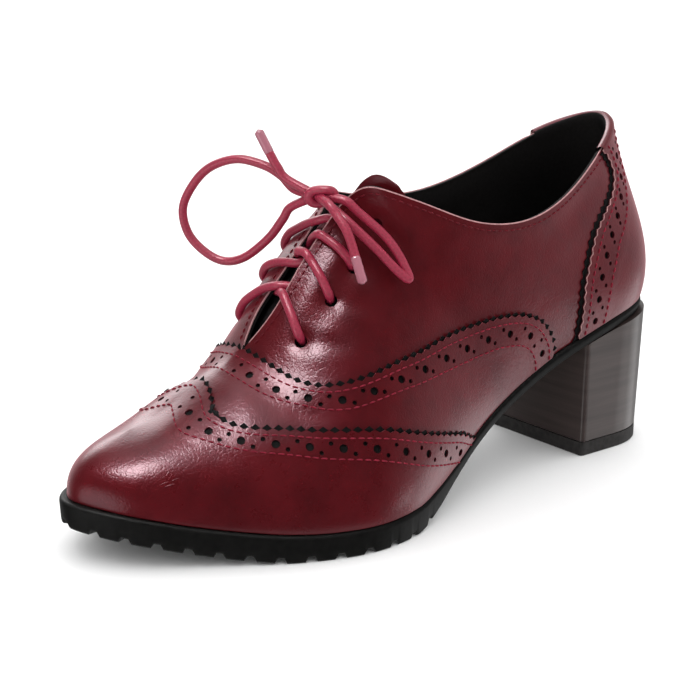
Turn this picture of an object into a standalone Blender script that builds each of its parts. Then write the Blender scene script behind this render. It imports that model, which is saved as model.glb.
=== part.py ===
"""A heeled lace-up brogue, left shoe: hollow upper, overlays, tongue, insole, lugged sole, block heel, lace.

Lengths in the tables are millimetres. The toe points to -Y, the outer side of the foot is +X and the
floor is z = 0. The upper is one function of two numbers: u counts the stations round the feather line
(0 toe, 20 back of the heel, 40 toe again, the outer side first) and v runs up each station from the sole
to the top edge.
"""

import math

import bmesh
import bpy
import numpy as np
from mathutils import Matrix, Vector

MM = 0.001
WALL = 1.6          # upper, leather with lining
GAP = 0.3           # between curved pieces
SHIFT = np.array([-3.6, -3.9, 0.0])  # from the tables' zero to the middle of the shoe
BACK = 20           # station at the back of the heel
LOOP = 2 * BACK     # stations round the whole shoe
THROAT = 6          # station where the ridge ends and the facings part

# Sole seen from the side: along, height of its top, height of its underside
SOLE = [
    (-121.0, 20.2, 12.0),
    (-110.0, 18.2, 9.4),
    (-100.0, 16.0, 7.1),
    (-88.0, 13.2, 4.2),
    (-75.0, 10.8, 1.6),
    (-62.0, 9.2, 0.0),
    (-50.0, 8.6, 0.0),
    (-36.0, 8.5, 0.0),
    (-18.0, 9.2, 0.0),
    (-5.0, 12.2, 4.4),
    (5.0, 16.2, 10.4),
    (18.0, 23.4, 18.6),
    (29.0, 29.2, 24.6),
    (46.0, 37.2, 32.8),
    (60.0, 42.7, 38.3),
    (72.0, 46.6, 42.3),
    (84.0, 50.0, 45.8),
    (97.0, 53.0, 48.8),
    (112.0, 55.6, 51.5),
    (126.0, 57.2, 53.2),
]

# Feather line, where the upper meets the sole: along, outer side, inner side, sole edge beyond it,
# lean of the wall outwards in degrees, length of the lower handle
FEATHER = [
    (-112.2, -8.0, -8.0, 4.8, 2.0, 11.0),
    (-109.4, -0.4, -15.4, 4.4, 4.0, 12.0),
    (-102.4, 9.2, -23.8, 3.7, 8.0, 12.5),
    (-90.8, 18.2, -30.6, 3.4, 12.0, 13.0),
    (-77.0, 27.0, -35.0, 3.3, 14.0, 13.5),
    (-63.0, 35.6, -37.4, 3.2, 16.0, 15.5),
    (-50.0, 41.6, -37.8, 3.1, 17.0, 17.5),
    (-38.0, 44.8, -36.8, 3.0, 17.0, 20.0),
    (-26.0, 44.6, -34.6, 2.8, 16.0, 23.0),
    (-14.0, 41.8, -31.8, 2.5, 15.0, 25.0),
    (-2.0, 37.6, -29.2, 2.2, 14.0, 26.0),
    (10.0, 33.8, -27.2, 2.0, 13.0, 26.0),
    (22.0, 30.8, -26.0, 1.9, 12.0, 24.0),
    (34.0, 28.8, -25.2, 1.8, 11.0, 22.0),
    (46.0, 27.8, -25.0, 1.7, 10.0, 20.0),
    (58.0, 27.2, -25.2, 1.6, 9.0, 19.0),
    (70.0, 27.0, -25.6, 1.5, 9.0, 19.0),
    (82.0, 26.8, -25.8, 1.5, 10.0, 20.0),
    (98.0, 25.4, -24.8, 1.5, 13.0, 21.0),
    (113.0, 18.4, -18.0, 1.5, 16.0, 22.0),
    (121.6, 0.0, 0.0, 1.5, 18.0, 22.0),
]

# Top of each station, the ridge, then the facing, then the collar: outer x, y, z, inner x, y, z, length of
# the upper handle, its turn towards the toe, slope of the edge, and droop below level, in degrees
TOP = [
    (-7.6, -91.0, 36.8, -7.6, -91.0, 36.8, 12.5, 90.0, 20.0, 0.0),
    (-7.3, -86.8, 37.5, -7.3, -86.8, 37.5, 13.0, 60.0, 18.0, 0.0),
    (-6.8, -80.6, 39.7, -6.8, -80.6, 39.7, 15.0, 38.0, 17.0, 0.0),
    (-6.0, -74.0, 43.8, -6.0, -74.0, 43.8, 17.5, 22.0, 20.0, 0.0),
    (-5.0, -67.0, 48.2, -5.0, -67.0, 48.2, 20.5, 11.0, 27.0, 0.0),
    (-4.0, -60.5, 52.0, -4.0, -60.5, 52.0, 22.0, 4.0, 36.0, 0.0),
    (-3.2, -54.0, 57.0, -3.2, -54.0, 57.0, 22.0, 0.0, 45.0, 8.0),
    (1.6, -45.0, 69.0, -6.8, -45.0, 68.0, 22.0, 0.0, 52.0, 22.0),
    (3.0, -35.5, 82.2, -5.9, -35.0, 80.4, 23.0, 0.0, 53.0, 30.0),
    (4.0, -26.8, 93.5, -5.8, -26.0, 90.6, 24.0, 0.0, 52.0, 38.0),
    (6.0, -18.8, 103.4, -6.6, -17.8, 99.6, 25.0, 0.0, 48.0, 48.0),
    (11.5, -14.0, 108.8, -11.8, -12.8, 104.2, 26.0, 0.0, 34.0, 62.0),
    (18.5, -8.2, 107.8, -19.2, -6.8, 103.6, 25.0, 0.0, 20.0, 74.0),
    (24.4, 5.0, 102.2, -25.0, 5.5, 100.2, 22.0, 0.0, 8.0, 82.0),
    (27.4, 21.5, 95.8, -27.0, 22.5, 97.2, 20.0, 0.0, 0.0, 86.0),
    (28.0, 41.0, 93.6, -27.2, 41.0, 96.8, 20.0, 0.0, 0.0, 86.0),
    (26.2, 59.0, 97.0, -25.8, 59.0, 100.5, 21.0, 0.0, 0.0, 84.0),
    (22.6, 75.0, 103.8, -22.4, 75.0, 107.0, 22.0, -10.0, 0.0, 82.0),
    (17.6, 90.0, 112.0, -17.6, 90.0, 114.4, 24.0, -30.0, 0.0, 80.0),
    (10.6, 102.5, 118.8, -10.6, 102.5, 119.6, 25.0, -60.0, 0.0, 78.0),
    (0.0, 108.0, 122.0, 0.0, 108.0, 122.0, 25.0, -90.0, 0.0, 78.0),
]

# Shoulder of the inner side, leaner at the toe and fuller beside the throat: station, then its upper
# handle's length and droop
INNER_SHOULDER = {
    1: (12.0, 2.0),
    2: (10.0, 6.0),
    3: (13.0, 6.0),
    4: (18.0, 5.0),
    5: (19.0, 6.0),
    6: (26.0, 3.0),
    7: (26.0, 9.0),
    8: (30.0, 8.0),
    9: (33.0, 10.0),
    10: (34.0, 20.0),
    11: (31.0, 44.0),
    12: (27.0, 66.0),
}

# Seams on the upper as station and share of the height, the same on both sides
WING = [
    (4.0, 1.0), (4.01, 0.88), (4.03, 0.78), (4.06, 0.70), (4.2, 0.632), (4.8, 0.565), (5.6, 0.52),
    (6.35, 0.465), (7.2, 0.395), (8.25, 0.31), (9.2, 0.24), (10.0, 0.18), (10.8, 0.105), (11.5, 0.02),
]
VAMP = [
    (6.1, 1.0), (6.12, 0.9), (6.2, 0.79), (6.35, 0.705), (6.6, 0.645), (6.9, 0.6), (7.3, 0.56),
    (8.0, 0.515), (8.8, 0.49), (10.0, 0.447), (11.4, 0.43), (12.8, 0.425), (13.75, 0.418), (14.3, 0.385),
    (14.7, 0.315), (14.95, 0.18), (15.05, 0.02),
]
COUNTER = [
    (0.0, 16.15), (0.2, 16.3), (0.38, 16.5), (0.52, 16.8), (0.635, 17.15), (0.71, 17.6), (0.78, 18.1),
    (0.86, 18.3), (0.93, 18.25), (1.02, 18.0),
]

# Overlays: thickness, and the gap between two that meet edge to edge, in stations and shares of the height
OVERLAY = 1.3
CAP_OVERLAY = 1.6
SEAM_GAP = (0.05, 0.009)

# Eyelets, the same on both sides: station, share of the height
EYELETS = [(7.0, 0.805), (8.05, 0.805), (9.0, 0.81), (10.3, 0.85)]
EYELET_D = 3.8
EYELET_CUT = 10.0   # length of the punch

# Lugs under the rim of the forefoot
LUG_PITCH = 9.4
LUG_GAP = 4.2
LUG_DEPTH = 2.0
LUG_RUN = 8.0       # from the feather line inwards
LUG_CLEAR = 8.0     # of the cutter, past the edge
LUG_LAST = 9.4      # station where they end

# Edge of the sole: its rounded upper lip and its lean inwards to the underside
LIP_BACK = 1.2
LIP_DROP = 1.3
SOLE_LEAN = 0.4

# Heel at its foot and under the sole: front, outer side, inner side, where its round starts, back
HEEL_FOOT = (78.2, 26.0, -24.6, 96.0, 121.4)
HEEL_HEAD = (77.0, 27.6, -26.4, 96.0, 122.4)
HEEL_SQUARE = 0.9   # power of its round, below 1 for a squarer back
HEEL_TIP = 5.4

INSOLE = 2.2
INSOLE_INSET = 0.6  # inside the upper's wall

# Tongue, slipped to the outer side: station and height on the facing of its outer edge, then its inner edge
TONGUE_SIDES = [
    (6.6, 0.74, 6.6, 0.74),
    (7.2, 0.74, 7.2, 0.74),
    (7.8, 0.745, 7.8, 0.745),
    (8.4, 0.755, 8.4, 0.755),
    (9.0, 0.77, 9.0, 0.77),
    (9.6, 0.79, 9.5, 0.8),
    (10.4, 0.82, 9.75, 0.83),
    (11.1, 0.85, 9.95, 0.85),
    (11.7, 0.88, 10.1, 0.86),
    (12.2, 0.91, 10.2, 0.86),
]
TONGUE_INNERMOST = 0.96  # height on the facings where its middle begins
TONGUE_BOW = 0.75   # handles across its middle, as a share of the span
TONGUE = 1.8
TONGUE_UNDER = WALL + 2.4  # below the facings' outer face, with room for the lace
# Free end of the tongue over its last row: share across from the outer side, lift
TONGUE_LIFT = [(0.0, 6.0), (0.3, 4.4), (0.45, 6.8), (0.5, 5.8), (0.6, 1.0), (1.0, 0.4)]

# Lace: its crossings leave an eyelet and climb to the middle of the throat
LACE_D = 3.0
# Share of a crossing's lead, share of the way to the facing's edge, height over the leather
CROSSING = [(0.0, 0.0, 2.7), (0.38, 0.35, 3.0), (0.76, 0.72, 3.4)]
CROSSING_LEADS = [0.5, 0.35, 0.25]          # stations ahead of the eyelet at the peak
CROSSING_LIFT = np.array([0.0, -3.2, 2.0])  # of the peak over the throat

# Knot and bow, each cord's route in the tables' frame: x, y, z
KNOT_AXIS = ((-4.2, -26.6, 106.6), (6.0, -24.9, 106.0))
KNOT_CORE_D = 5.2
KNOT_WRAPS = [0.08, 0.5, 0.92]             # along its axis
KNOT_WRAP = (4.4, 2.2)                     # radius, half width
LOOP_INNER = [
    (-8.0, -27.6, 107.2), (-12.5, -29.8, 111.4), (-18.0, -33.0, 114.5), (-26.0, -38.0, 116.0),
    (-34.0, -43.0, 113.0), (-39.5, -46.5, 107.0), (-43.0, -49.0, 98.5), (-42.0, -48.0, 90.0),
    (-37.0, -45.0, 84.0), (-31.0, -41.0, 81.0), (-24.0, -37.0, 83.0), (-16.5, -32.5, 90.0),
    (-11.5, -30.0, 97.0), (-8.8, -28.4, 101.4),
]
LOOP_OUTER = [
    (10.8, -21.6, 105.6), (14.2, -18.6, 102.0), (19.8, -14.0, 96.0), (23.2, -11.4, 91.4), (26.2, -9.6, 86.0),
    (28.6, -9.0, 81.2), (26.8, -12.2, 83.8), (21.6, -17.2, 91.2), (15.2, -22.4, 98.6), (10.8, -23.8, 101.6),
]
END_INNER = [(-7.6, -31.0, 111.0), (-10.2, -32.8, 114.8), (-12.0, -33.8, 118.0)]
TAG_INNER = [(-12.3, -34.0, 118.6), (-16.5, -36.0, 126.5)]
END_OUTER = [(10.0, -27.4, 105.0), (13.6, -26.8, 101.8), (17.8, -26.0, 97.2), (20.8, -25.4, 90.8)]
TAG_OUTER = [(21.1, -25.4, 90.1), (25.6, -25.4, 81.2)]
TAG_D = 2.8

# Mesh lines: stations of one side of the upper and of the sole, heights of the upper
UPPER_STATIONS = np.concatenate([np.linspace(0, THROAT, 13), np.linspace(THROAT, BACK, 29)[1:]])
UPPER_HEIGHTS = np.array([0.0, 0.11, 0.24, 0.37, 0.49, 0.61, 0.72, 0.82, 0.92, 1.0])
SOLE_STATIONS = np.concatenate([np.linspace(0, 2, 9), np.linspace(2, 18, 41)[1:], np.linspace(18, 20, 9)[1:]])
STATION_STEP = 0.03     # half the span that a normal is measured over
HEIGHT_STEP = 0.008
LEVEL_FOOT = 0.08       # height below which normals turn level
SAME = 1e-9

# Colour, metal, roughness
MATERIALS = {
    "leather": ((0.13, 0.008, 0.014), 0.0, 0.28),
    "leather_cap": ((0.14, 0.008, 0.015), 0.0, 0.25),
    "leather_vamp": ((0.135, 0.008, 0.014), 0.0, 0.27),
    "leather_counter": ((0.13, 0.008, 0.015), 0.0, 0.27),
    "leather_tongue": ((0.11, 0.008, 0.013), 0.0, 0.35),
    "sole": ((0.012, 0.011, 0.011), 0.0, 0.55),
    "heel": ((0.06, 0.05, 0.047), 0.0, 0.45),
    "heel_tip": ((0.03, 0.028, 0.027), 0.0, 0.6),
    "insole": ((0.008, 0.008, 0.008), 0.0, 0.8),
    "lace": ((0.33, 0.025, 0.07), 0.0, 0.5),
    "aglet": ((0.55, 0.23, 0.29), 0.0, 0.3),
}


def through(xs, ys, at):
    """A smooth curve through a table that adds no bumps of its own."""
    xs, ys, at = (np.asarray(a, float) for a in (xs, ys, at))
    step = np.diff(xs)
    slope = np.diff(ys) / step
    ends = np.zeros_like(ys)
    same = slope[:-1] * slope[1:] > 0
    w1, w2 = 2 * step[1:] + step[:-1], step[1:] + 2 * step[:-1]
    with np.errstate(divide="ignore", invalid="ignore"):
        ends[1:-1] = np.where(same, (w1 + w2) / (w1 / slope[:-1] + w2 / slope[1:]), 0.0)
    ends[0], ends[-1] = slope[0], slope[-1]
    i = np.clip(np.searchsorted(xs, at) - 1, 0, len(xs) - 2)
    h = step[i]
    s = np.clip((at - xs[i]) / h, 0.0, 1.0)
    return (
        (1 + 2 * s) * (1 - s) ** 2 * ys[i] + s * (1 - s) ** 2 * h * ends[i]
        + s * s * (3 - 2 * s) * ys[i + 1] + s * s * (s - 1) * h * ends[i + 1]
    )


def round_loop(values, at):
    """A closed cubic spline through rows that are one station apart."""
    values = np.asarray(values, float)
    n = len(values)
    system = 4 * np.eye(n) + np.roll(np.eye(n), 1, axis=1) + np.roll(np.eye(n), -1, axis=1)
    flat = values.reshape(n, -1)
    bend = np.linalg.solve(system, 6 * (np.roll(flat, -1, 0) - 2 * flat + np.roll(flat, 1, 0)))
    at = np.asarray(at, float) % n
    i = np.floor(at).astype(int) % n
    j = (i + 1) % n
    s = (at - np.floor(at))[..., None]
    found = (
        (1 - s) * flat[i] + s * flat[j]
        + ((1 - s) ** 3 - (1 - s)) * bend[i] / 6 + (s ** 3 - s) * bend[j] / 6
    )
    return found.reshape(at.shape + values.shape[1:])


def sole_top(y):
    table = np.array(SOLE)
    return through(table[:, 0], table[:, 1], y)


def sole_under(y):
    table = np.array(SOLE)
    return through(table[:, 0], table[:, 2], y)


def loop_rows(outer, inner):
    """Rows of the outer side from toe to heel, then of the inner side back to the toe."""
    return np.array(list(outer) + list(inner[-2:0:-1]))


def feather_rows():
    table = np.array(FEATHER)
    outer = np.column_stack([table[:, 1], table[:, 0]])
    inner = np.column_stack([table[:, 2], table[:, 0]])
    return loop_rows(outer, inner)


def plan_normal(rows, u):
    """Outward direction of the feather line, seen from above."""
    ahead = round_loop(rows, np.asarray(u) + 0.01) - round_loop(rows, np.asarray(u) - 0.01)
    normal = np.stack([ahead[..., 1], -ahead[..., 0]], -1)
    return normal / np.linalg.norm(normal, axis=-1, keepdims=True)


def station_handles():
    """The four Bezier points of every station, round the loop."""
    rows = feather_rows()
    normal = plan_normal(rows, np.arange(LOOP))
    points = np.zeros((LOOP, 4, 3))
    for u in range(LOOP):
        r = min(u, LOOP - u)
        side = 1.0 if u <= BACK else -1.0
        along, _, _, _, lean, up = FEATHER[r]
        top = TOP[r]
        reach, turn, slope, droop = top[6:10]
        if side < 0:
            reach, droop = INNER_SHOULDER.get(r, (reach, droop))
        turn, slope, droop = (math.radians(a) for a in (turn, slope, droop))
        base = np.array([rows[u][0], rows[u][1], float(sole_top(along)) + GAP])
        lean = math.radians(lean)
        low = base + up * np.array([*(normal[u] * math.sin(lean)), math.cos(lean)])
        peak = np.array(top[0:3] if side > 0 else top[3:6])
        forward = -math.sin(turn) * np.array([0.0, math.cos(slope), math.sin(slope)])
        level = np.array([side * math.cos(turn), 0.0, 0.0]) + forward
        inward = np.array([0.0, math.sin(slope), -math.cos(slope)])
        high = peak + reach * (math.cos(droop) * level + math.sin(droop) * inward)
        points[u] = base, low, high, peak
    return points


HANDLES = station_handles()


def upper_point(u, v):
    """Points of the upper's outer face."""
    u, v = np.broadcast_arrays(np.asarray(u, float) % LOOP, np.asarray(v, float))
    c = round_loop(HANDLES, u)
    other = round_loop(HANDLES[:, 3], LOOP - u)
    shared = np.minimum(u, LOOP - u) <= THROAT + SAME
    c[..., 3, :] = np.where(shared[..., None], 0.5 * (c[..., 3, :] + other), c[..., 3, :])
    v = v[..., None]
    w = 1 - v
    shares = (w ** 3, 3 * w * w * v, 3 * w * v * v, v ** 3)
    return sum(share * c[..., k, :] for k, share in enumerate(shares))


def upper_normal(u, v):
    """Outward normals, level at the sole and common to both sides along the ridge."""
    u, v = np.broadcast_arrays(np.asarray(u, float) % LOOP, np.asarray(v, float))

    def plain(u, v):
        v = np.clip(v, HEIGHT_STEP, 1 - 2 * HEIGHT_STEP)
        across = upper_point(u + STATION_STEP, v) - upper_point(u - STATION_STEP, v)
        up = upper_point(u, v + HEIGHT_STEP) - upper_point(u, v - HEIGHT_STEP)
        normal = np.cross(across, up)
        return normal / np.linalg.norm(normal, axis=-1, keepdims=True)

    normal = plain(u, v)
    ridge = (np.minimum(u, LOOP - u) <= THROAT + SAME) & (v > 1 - SAME)
    normal = np.where(ridge[..., None], normal + plain(LOOP - u, v), normal)
    normal[..., 2] *= np.clip(v / LEVEL_FOOT, 0.0, 1.0)
    return normal / np.linalg.norm(normal, axis=-1, keepdims=True)


def offset_point(u, v, out):
    """The upper's face moved outwards, held clear of the sole."""
    p = upper_point(u, v) + upper_normal(u, v) * np.asarray(out, float)[..., None]
    p[..., 2] = np.maximum(p[..., 2], sole_top(p[..., 1]) + GAP)
    return p


def material(name):
    colour, metal, rough = MATERIALS[name]
    made = bpy.data.materials.new(name)
    made.use_nodes = True
    socket = made.node_tree.nodes["Principled BSDF"].inputs
    socket["Base Color"].default_value = (*colour, 1.0)
    socket["Metallic"].default_value = metal
    socket["Roughness"].default_value = rough
    made.diffuse_color = (*colour, 1.0)
    return made


def add_object(name, points, faces, look):
    """One closed mesh, with its faces turned outwards."""
    mesh = bpy.data.meshes.new(name)
    work = bmesh.new()
    made = [work.verts.new(Vector((np.asarray(p) + SHIFT) * MM)) for p in points]
    for face in faces:
        corners = []
        for index in face:
            if made[index] not in corners:
                corners.append(made[index])
        if len(corners) > 2:
            work.faces.new(corners)
    bmesh.ops.remove_doubles(work, verts=work.verts, dist=1e-8)
    bmesh.ops.recalc_face_normals(work, faces=work.faces)
    work.to_mesh(mesh)
    work.free()
    mesh.materials.append(material(look))
    obj = bpy.data.objects.new(name, mesh)
    bpy.context.scene.collection.objects.link(obj)
    return obj


def shell(name, us, vs, inside, outside, look, closed=False, breaks=()):
    """A sheet of the upper's own face, given thickness: columns of stations us and heights vs.

    No face joins a column listed in breaks to the next one.
    """
    us, vs = np.asarray(us, float), np.asarray(vs, float)
    columns, rows = us.shape
    base = np.round(upper_point(us, vs).reshape(-1, 3), 4)
    _, first, same = np.unique(base, axis=0, return_index=True, return_inverse=True)
    same = same.reshape(columns, rows)
    u, v = us.reshape(-1)[first], vs.reshape(-1)[first]
    outer = offset_point(u, v, np.full(len(u), outside))
    inner = offset_point(u, v, np.full(len(u), inside))
    count = len(u)
    sheet = []
    for i in range(columns if closed else columns - 1):
        if i in breaks:
            continue
        j = (i + 1) % columns
        for k in range(rows - 1):
            quad = [same[i, k], same[j, k], same[j, k + 1], same[i, k + 1]]
            quad = [c for n, c in enumerate(quad) if c != quad[n - 1]]
            if len(quad) > 2:
                sheet.append(quad)
    edges = {}
    for quad in sheet:
        for a, b in zip(quad, quad[1:] + quad[:1]):
            edges[(a, b)] = edges.get((a, b), 0) + 1
    faces = list(sheet) + [[c + count for c in reversed(quad)] for quad in sheet]
    faces += [[b, a, a + count, b + count] for (a, b) in edges if (b, a) not in edges]
    return add_object(name, np.vstack([outer, inner]), faces, look)


def seam(table, u):
    """Height of a seam at a station, 1 before it starts and 0 after it ends."""
    table = np.array(table)
    return np.where(u <= table[0, 0], 1.0, through(table[:, 0], table[:, 1], u))


def make_upper():
    r = UPPER_STATIONS
    loop = np.concatenate([r, LOOP - r[-2:0:-1]])
    us, vs = np.meshgrid(loop, UPPER_HEIGHTS, indexing="ij")
    upper = shell("upper", us, vs, -WALL, 0.0, "leather", closed=True)
    for station, height in EYELETS:
        for u in (station, LOOP - station):
            middle = upper_point(u, height)
            cut(upper, rod("eyelet", middle, upper_normal(u, height), EYELET_D / 2, EYELET_CUT))
    return upper


def seam_columns(low, high):
    """Stations of one side with the heights of a lower seam, or the sole, and of a higher one."""
    first = low[1][0] if low else 0.0
    ends = [row[0] for row in high + (low or [])]
    along = np.concatenate([UPPER_STATIONS, ends])
    found = []
    for u in np.unique(along[(along >= first) & (along <= high[-1][0])]):
        bottom = float(seam(low, u)) if low and u <= low[-1][0] else 0.0
        found.append((u, np.clip(UPPER_HEIGHTS, bottom, float(seam(high, u)))))
    return found


def between_seams(name, low, high, thickness, look):
    """The sheet between two seams that run from side to side over the ridge."""
    outer = seam_columns(low, high)
    inner = [(LOOP - u, heights) for u, heights in outer]
    columns = inner[::-1] + outer
    us = [[u] * len(heights) for u, heights in columns]
    vs = [heights for _, heights in columns]
    breaks = [len(inner) - 1] if low else []
    return shell(name, us, vs, GAP, GAP + thickness, look, breaks=breaks)


def make_toe_cap():
    return between_seams("toe_cap", None, WING, CAP_OVERLAY, "leather_cap")


def make_vamp():
    low = [(u + SEAM_GAP[0], min(1.0, v + SEAM_GAP[1])) for u, v in WING]
    return between_seams("vamp", low, VAMP, OVERLAY, "leather_vamp")


def make_counter():
    table = np.array(COUNTER)
    heights = np.append(UPPER_HEIGHTS, table[-1, 0])
    stations = UPPER_STATIONS[UPPER_STATIONS > table[:, 1].min()]
    edge = through(table[:, 0], table[:, 1], heights)
    near = np.maximum(np.concatenate([[table[:, 1].min()], stations])[:, None], edge)
    us = np.vstack([near, LOOP - near[-2::-1]])
    vs = np.broadcast_to(heights, us.shape)
    return shell("heel_counter", us, vs, GAP, GAP + OVERLAY, "leather_counter")


def plate(name, rings, look):
    """A solid between two edges of the sole: rings of (outset from the feather line, height function)."""
    rows = feather_rows()
    r = SOLE_STATIONS
    points, index, faces = [], {}, []
    for sign in (1, -1):
        u = r if sign > 0 else (LOOP - r) % LOOP
        base, normal = round_loop(rows, u), plan_normal(rows, u)
        for k, (outset, height) in enumerate(rings):
            flat = base + normal * np.broadcast_to(outset, r.shape)[:, None]
            for i, (x, y) in enumerate(flat):
                index[sign, k, i] = len(points)
                points.append((x, y, float(height(y))))
    for i in range(len(r) - 1):
        j = i + 1
        for sign in (1, -1):
            for k in range(len(rings) - 1):
                corners = [(sign, k, i), (sign, k, j), (sign, k + 1, j), (sign, k + 1, i)]
                faces.append([index[c] for c in corners])
        for k in (0, len(rings) - 1):
            corners = [(1, k, i), (1, k, j), (-1, k, j), (-1, k, i)]
            faces.append([index[c] for c in corners])
    return add_object(name, points, faces, look)


def lug_stations(rows):
    """Stations of the gaps between lugs, evenly spaced round the forefoot."""
    fine = np.linspace(-LUG_LAST, LUG_LAST, 400)
    line = round_loop(rows, fine)
    run = np.concatenate([[0.0], np.cumsum(np.linalg.norm(np.diff(line, axis=0), axis=1))])
    count = int(run[-1] / LUG_PITCH)
    places = 0.5 * run[-1] + (np.arange(count + 1) - 0.5 * count) * LUG_PITCH
    return np.interp(places, run, fine)


def make_outsole():
    ledge = through(np.arange(BACK + 1), [row[3] for row in FEATHER], SOLE_STATIONS)
    sole = plate("outsole", [
        (ledge - LIP_BACK, sole_top),
        (ledge, lambda y: sole_top(y) - LIP_DROP),
        (ledge - SOLE_LEAN, sole_under),
    ], "sole")
    rows = feather_rows()
    for u in lug_stations(rows):
        out = plan_normal(rows, u)
        along = np.array([-out[1], out[0]])
        corners = []
        for reach in (-LUG_RUN, LUG_CLEAR):
            for half in (-0.5, 0.5):
                x, y = round_loop(rows, u) + out * reach + along * half * LUG_GAP
                under = float(sole_under(y))
                corners += [(x, y, under - LUG_DEPTH), (x, y, under + LUG_DEPTH)]
        cut(sole, box("lug_gap", corners))
    return sole


def make_insole():
    inset = -(WALL + INSOLE_INSET)
    return plate("insole", [
        (inset, lambda y: sole_top(y) + GAP + INSOLE),
        (inset, lambda y: sole_top(y) + GAP),
    ], "insole")


def heel_ring(shape, z):
    """A D seen from above, its flat side to the toe."""
    front, outer, inner, turn, back = shape
    ring = []
    for x, sign in ((outer, 1), (inner, -1)):
        side = [(x, front), (x, 0.5 * (front + turn))]
        for angle in np.linspace(0, math.pi / 2, 12):
            across = x * math.cos(angle) ** HEEL_SQUARE
            side.append((across, turn + (back - turn) * math.sin(angle) ** HEEL_SQUARE))
        ring += side if sign > 0 else side[-2::-1]
    return [(x, y, z(y)) for x, y in ring]


def loft(name, rings, look):
    count = len(rings[0])
    points = [p for ring in rings for p in ring]
    faces = []
    for k in range(len(rings) - 1):
        for i in range(count):
            j = (i + 1) % count
            faces.append([k * count + i, k * count + j, (k + 1) * count + j, (k + 1) * count + i])
    faces.append(list(range(count)))
    faces.append([(len(rings) - 1) * count + i for i in range(count)])
    return add_object(name, points, faces, look)


def make_heel():
    foot = heel_ring(HEEL_FOOT, lambda y: HEEL_TIP + GAP)
    head = heel_ring(HEEL_HEAD, lambda y: float(sole_under(y)) - GAP)
    loft("heel", [foot, head], "heel")
    tip = [heel_ring(HEEL_FOOT, lambda y: 0.0), heel_ring(HEEL_FOOT, lambda y: HEEL_TIP)]
    loft("heel_tip", tip, "heel_tip")


def tongue_section(outer, outer_edge, inner, inner_edge, out):
    """Points across the tongue under both facings, from the outer side to the inner."""
    outer_heights, inner_heights = (np.linspace(v, TONGUE_INNERMOST, 4) for v in (outer_edge, inner_edge))
    near = offset_point(np.full(4, outer), outer_heights, np.full(4, out))
    far = offset_point(np.full(4, LOOP - inner), inner_heights, np.full(4, out))
    handle = TONGUE_BOW * np.linalg.norm(near[-1] - far[-1])
    start, end = (line[-1] - line[-2] for line in (near, far))
    start, end = (d / np.linalg.norm(d) * handle for d in (start, end))
    middle = []
    for s in np.linspace(0, 1, 7)[1:-1]:
        middle.append(
            (1 + 2 * s) * (1 - s) ** 2 * near[-1] + s * (1 - s) ** 2 * start
            + s * s * (3 - 2 * s) * far[-1] - s * s * (s - 1) * end
        )
    return np.vstack([near, middle, far[::-1]])


def make_tongue():
    rings = []
    for row in TONGUE_SIDES:
        face = tongue_section(*row, -TONGUE_UNDER)
        back = tongue_section(*row, -TONGUE_UNDER - TONGUE)
        rings.append(np.vstack([face, back[::-1]]))
    lift = np.zeros_like(rings[-1])
    across, rise = np.array(TONGUE_LIFT).T
    half = through(across, rise, np.linspace(0, 1, len(face)))
    lift[:, 2] = np.concatenate([half, half[::-1]])
    last = rings[-1]
    rings += [last + 0.5 * lift, last + lift]
    return loft("tongue", rings, "leather_tongue")


def turned(work, name, middle, axis):
    """A helper shape, made along Z, set along an axis."""
    turn = Vector((0, 0, 1)).rotation_difference(Vector(axis)).to_matrix().to_4x4()
    place = Matrix.Translation(Vector((np.asarray(middle) + SHIFT) * MM))
    bmesh.ops.transform(work, matrix=place @ turn, verts=work.verts)
    return helper(name, work)


def rod(name, middle, axis, radius, length):
    """A helper to cut with: a round bar along an axis."""
    work = bmesh.new()
    r = radius * MM
    bmesh.ops.create_cone(work, cap_ends=True, segments=12, radius1=r, radius2=r, depth=length * MM)
    return turned(work, name, middle, axis)


def bead(name, middle, axis, radius, half):
    """A helper to join: a ball flattened along an axis."""
    work = bmesh.new()
    bmesh.ops.create_uvsphere(work, u_segments=12, v_segments=8, radius=MM)
    bmesh.ops.scale(work, vec=(radius, radius, half), verts=work.verts)
    return turned(work, name, middle, axis)


def box(name, corners):
    """A helper to cut with: the hull of eight corners."""
    work = bmesh.new()
    for p in corners:
        work.verts.new(Vector((np.asarray(p) + SHIFT) * MM))
    bmesh.ops.convex_hull(work, input=work.verts)
    return helper(name, work)


def helper(name, work):
    mesh = bpy.data.meshes.new(name)
    bmesh.ops.recalc_face_normals(work, faces=work.faces)
    work.to_mesh(mesh)
    work.free()
    obj = bpy.data.objects.new(name, mesh)
    bpy.context.scene.collection.objects.link(obj)
    return obj


def combine(obj, other, operation):
    """Applies a Boolean and removes the helper."""
    modifier = obj.modifiers.new("combine", "BOOLEAN")
    modifier.object, modifier.operation, modifier.solver = other, operation, "EXACT"
    bpy.context.view_layer.update()
    made = bpy.data.meshes.new_from_object(obj.evaluated_get(bpy.context.evaluated_depsgraph_get()))
    obj.modifiers.clear()
    obj.data = made
    bpy.data.objects.remove(other, do_unlink=True)


def cut(obj, other):
    combine(obj, other, "DIFFERENCE")


def smooth_path(points, per_span):
    """A Catmull-Rom curve through a cord's points."""
    p = np.asarray(points, float)
    p = np.vstack([2 * p[0] - p[1], p, 2 * p[-1] - p[-2]])
    out = []
    for a, b, c, d in zip(p, p[1:], p[2:], p[3:]):
        for s in np.arange(per_span) / per_span:
            square = (2 * a - 5 * b + 4 * c - d) * s ** 2
            cube = (3 * b - a - 3 * c + d) * s ** 3
            out.append(0.5 * (2 * b + (c - a) * s + square + cube))
    out.append(p[-2])
    return np.array(out)


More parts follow.
